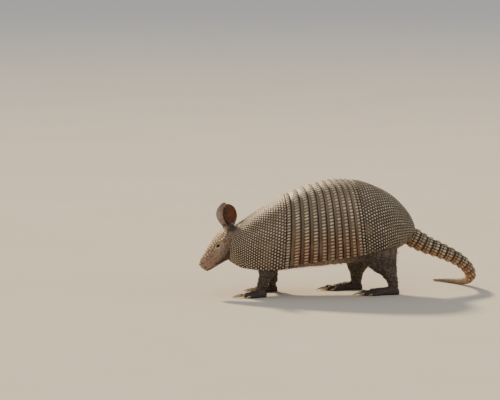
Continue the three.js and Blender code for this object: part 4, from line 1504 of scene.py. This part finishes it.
# Roots spread over the skin, no two nearer than the spacing, thickest where wanted is largest.
def scatter(skin, wanted, spacing, tries, seed):
    throw = np.random.default_rng(seed)
    skin.data.calc_loop_triangles()
    corners = read(skin.data.loop_triangles, "vertices", 3).astype(int)
    loops = read(skin.data.loop_triangles, "loops", 3).astype(int)
    weight = read(skin.data.loop_triangles, "area") * wanted[corners].min(axis=1)
    picked = throw.choice(len(weight), tries, p=weight / weight.sum())
    a, b = np.sqrt(throw.random(tries)), throw.random(tries)
    shares = np.stack([1 - a, a * (1 - b), a * b], axis=1)[:, :, None]
    roots = (mmPlaces(skin)[corners[picked]] * shares).sum(axis=1)
    normals = (normalsOf(skin)[corners[picked]] * shares).sum(axis=1)
    spots = (read(skin.data.uv_layers["unwrap"].data, "uv", 2)[loops[picked]] * shares).sum(axis=1)
    tree = KDTree(tries)
    for i, root in enumerate(roots):
        tree.insert(root, i)
    tree.balance()
    free, kept = np.ones(tries, bool), []
    for i, root in enumerate(roots):
        if free[i]:
            kept.append(i)
            free[[found[1] for found in tree.find_range(root, spacing)]] = False
    normals /= np.linalg.norm(normals, axis=1)[:, None]
    return roots[kept], normals[kept], spots[kept]


# Copies of one small shape, each on its own root: x along its lie, z off the skin. Each copy's
# faces share one small patch of the bake map, at the root's spot on the skin's unwrap.
def standCopies(piece, roots, lie, normals, spots, sizes, tone):
    one = coordsOf(piece)
    modify(piece, "ARRAY", count=len(roots), use_relative_offset=False, use_constant_offset=True,
           constant_offset_displace=(4, 0, 0))
    lie = lie - normals * (lie * normals).sum(axis=1)[:, None]
    lie /= np.linalg.norm(lie, axis=1)[:, None]
    frames = np.stack([lie, np.cross(normals, lie), normals], axis=1)
    places = roots[:, None] + np.einsum("nvk,nkj->nvj", one[None] * sizes[:, None], frames)
    setCoords(piece, onPart(places.reshape(-1, 3)))
    reach = np.abs(one[:, :2]).max() or 1
    patch = np.clip(spots[:, None] + one[None, :, :2] / reach * 0.0015, 0, 1).reshape(-1, 2)
    layer = piece.data.uv_layers.new(name="OFBake")
    layer.data.foreach_set("uv", patch[read(piece.data.loops, "vertex_index").astype(int)].ravel())
    setAttribute(piece, "tone", np.repeat(tone, len(one)))


legScale = {"sides": 9, "size": 2.35, "long": 1.12, "wide": 0.95, "height": 0.7, "depth": 0.8,
            "spacing": 3.5, "tries": 16000}
legScaleLook = {
    **shellLook, "edge": (0.2, 0.8), "ground": rgb(52, 44, 39), "joint": rgb(40, 34, 31),
    "pale": rgb(78, 67, 59), "palest": rgb(106, 92, 78), "lowPale": rgb(78, 67, 59),
    "worn": rgb(68, 58, 51), "dustAndSheenColour": rgb(60, 52, 46), "dustAndSheen": 0.2,
}


def addLegScales(skin):
    look = legScale
    clearSelection()
    bpy.ops.mesh.primitive_circle_add(vertices=look["sides"], radius=1, fill_type="NGON")
    scale = justMade("leg_scales")
    editAll(scale)
    bpy.ops.mesh.extrude_region_move(TRANSFORM_OT_translate={"value": (0, 0, look["depth"])})
    for inwards, rise in ((0.8, 0.5), (0.55, 0.25)):
        bpy.ops.mesh.extrude_region_move(TRANSFORM_OT_translate={"value": (0, 0, look["height"] * rise)})
        bpy.ops.transform.resize(value=(inwards, inwards, 1))
    bpy.ops.mesh.select_all(action="SELECT")
    bpy.ops.transform.translate(value=(0, 0, -look["depth"]))
    bpy.ops.mesh.normals_make_consistent(inside=False)
    objectMode()
    height = coordsOf(scale)[:, 2]
    places = mmPlaces(skin)
    normals = normalsOf(skin)
    x, _, z = places.T
    wanted = (x > -150) * ramp(z, 4, 9) * (1 - ramp(z, 44, 56)) * (normals[:, 2] > -0.3)
    wanted *= 0.15 + 0.85 * ramp(-normals[:, 0] + 0.6 * np.abs(normals[:, 1]) + normals[:, 2], 0.0, 0.7)
    roots, normals, spots = scatter(skin, wanted, look["spacing"], look["tries"], 41)
    throw = np.random.default_rng(42)
    shape = np.array([look["long"], look["wide"], 1 / look["size"]])
    size = look["size"] * throw.uniform(0.72, 1.1, (len(roots), 1)) * shape
    size *= (0.75 + 0.25 * ramp(roots[:, 2], 10, 30))[:, None]
    lie = np.tile([-0.35, 0.0, -1.0], (len(roots), 1)) + throw.normal(0, 0.25, (len(roots), 3))
    standCopies(scale, roots, lie, normals, spots, size, throw.random(len(roots)))
    setAttribute(scale, "rise", np.tile(np.clip(height / (0.75 * look["height"]), 0, 1), len(roots)))
    dress(scale, scuteMaterial("leg_scale", legScaleLook))
    keepPiece(scale, "skin")
    print("leg scales:", len(roots))


# Hairs grow three to a root; each coat has its length, thickness and spacing in mm, and stands off
# the skin by its own share of its length.
hair = {"bend": 0.35, "fan": 0.16, "pale": rgb(198, 180, 148), "brown": rgb(116, 96, 74),
        "roughness": 0.5, "specular": 0.4}
coats = {
    "belly_hair": {"length": 11, "thickness": 0.11, "spacing": 3.8, "tries": 9000, "stand": 0.55, "seed": 51},
    "leg_hair": {"length": 6.5, "thickness": 0.09, "spacing": 3.6, "tries": 7000, "stand": 0.45, "seed": 52},
    "neck_hair": {"length": 7, "thickness": 0.09, "spacing": 2.8, "tries": 7000, "stand": 0.4, "seed": 53},
    "face_hair": {"length": 2.8, "thickness": 0.06, "spacing": 2.8, "tries": 5000, "stand": 0.35, "seed": 54},
}


# Three tapered hairs of length 1 from one root, leaning along x and curling back down.
def oneTuft(name, thickness, stand):
    strands = []
    for turn in (-1, 0, 1):
        clearSelection()
        bpy.ops.mesh.primitive_cone_add(vertices=3, radius1=thickness, radius2=thickness * 0.15, depth=1,
                                        end_fill_type="NGON", location=(0, 0, 0.5))
        strand = justMade("strand")
        editMode(strand)
        for at in (0.35, 0.7):
            bpy.ops.mesh.select_all(action="SELECT")
            bpy.ops.mesh.bisect(plane_co=(0, 0, at), plane_no=(0, 0, 1))
        objectMode()
        places = coordsOf(strand)
        along = places[:, 2].copy()
        places[:, 2] = stand * (along - hair["bend"] * along ** 2) * (1 + 0.2 * turn) - 0.04
        places[:, 0] += along * (0.8 - 0.12 * abs(turn))
        places[:, 1] += turn * hair["fan"] * along
        setCoords(strand, places)
        strands.append(strand)
    return joined(name, strands)


def addHairs(skin):
    material = newMaterial("pale_hair", hair["roughness"], hair["specular"])
    finish(material, mixed(material, attribute(material, "tone"), hair["pale"], hair["brown"]))
    places = mmPlaces(skin)
    x, _, z = places.T
    back, _, up = headCoords(places)
    front = ramp(-x, 150, 156) * (z > 30)
    ear, _ = earShares(places, normalsOf(skin))
    bare, nape = front * (1 - ear), ramp(back, 78, 88)
    rollTop = (x > -172) * (x < -146) * ramp(z, 112, 120)
    grows = {
        "belly_hair": (1 - front) * ramp(z, 46, 54) * (1 - ramp(z, 66, 84)),
        "leg_hair": (1 - front) * ramp(z, 8, 14) * (1 - ramp(z, 46, 54)),
        "neck_hair": np.maximum(bare * nape * (up < 25), rollTop),
        "face_hair": bare * ramp(back, 22, 40) * (1 - nape) * (1 - ramp(up, 4, 8)),
    }
    for name, look in coats.items():
        roots, normals, spots = scatter(skin, grows[name], look["spacing"], look["tries"], look["seed"])
        tuft = oneTuft(name, look["thickness"] / look["length"], look["stand"])
        throw = np.random.default_rng(look["seed"])
        length = look["length"] * throw.uniform(0.6, 1.15, (len(roots), 1))
        sizes = np.concatenate([length] * 3, axis=1)
        lie = np.array([1.0, 0, -0.35]) + throw.normal(0, 0.4, (len(roots), 3))
        standCopies(tuft, roots, lie, normals, spots, sizes, throw.random(len(roots)))
        dress(tuft, material)
        keepPiece(tuft, "skin")
        print(name.replace("_", " ") + ":", len(roots), "tufts")


addCamera()
addLights()
addFloor()
addShields()
addBands()
addHeadShield()
addTail()
addClaws()
addEyes()
skin = addSkin()
unwrap(skin)
addLegScales(skin)
addHairs(skin)
skin.data.uv_layers.remove(skin.data.uv_layers["unwrap"])
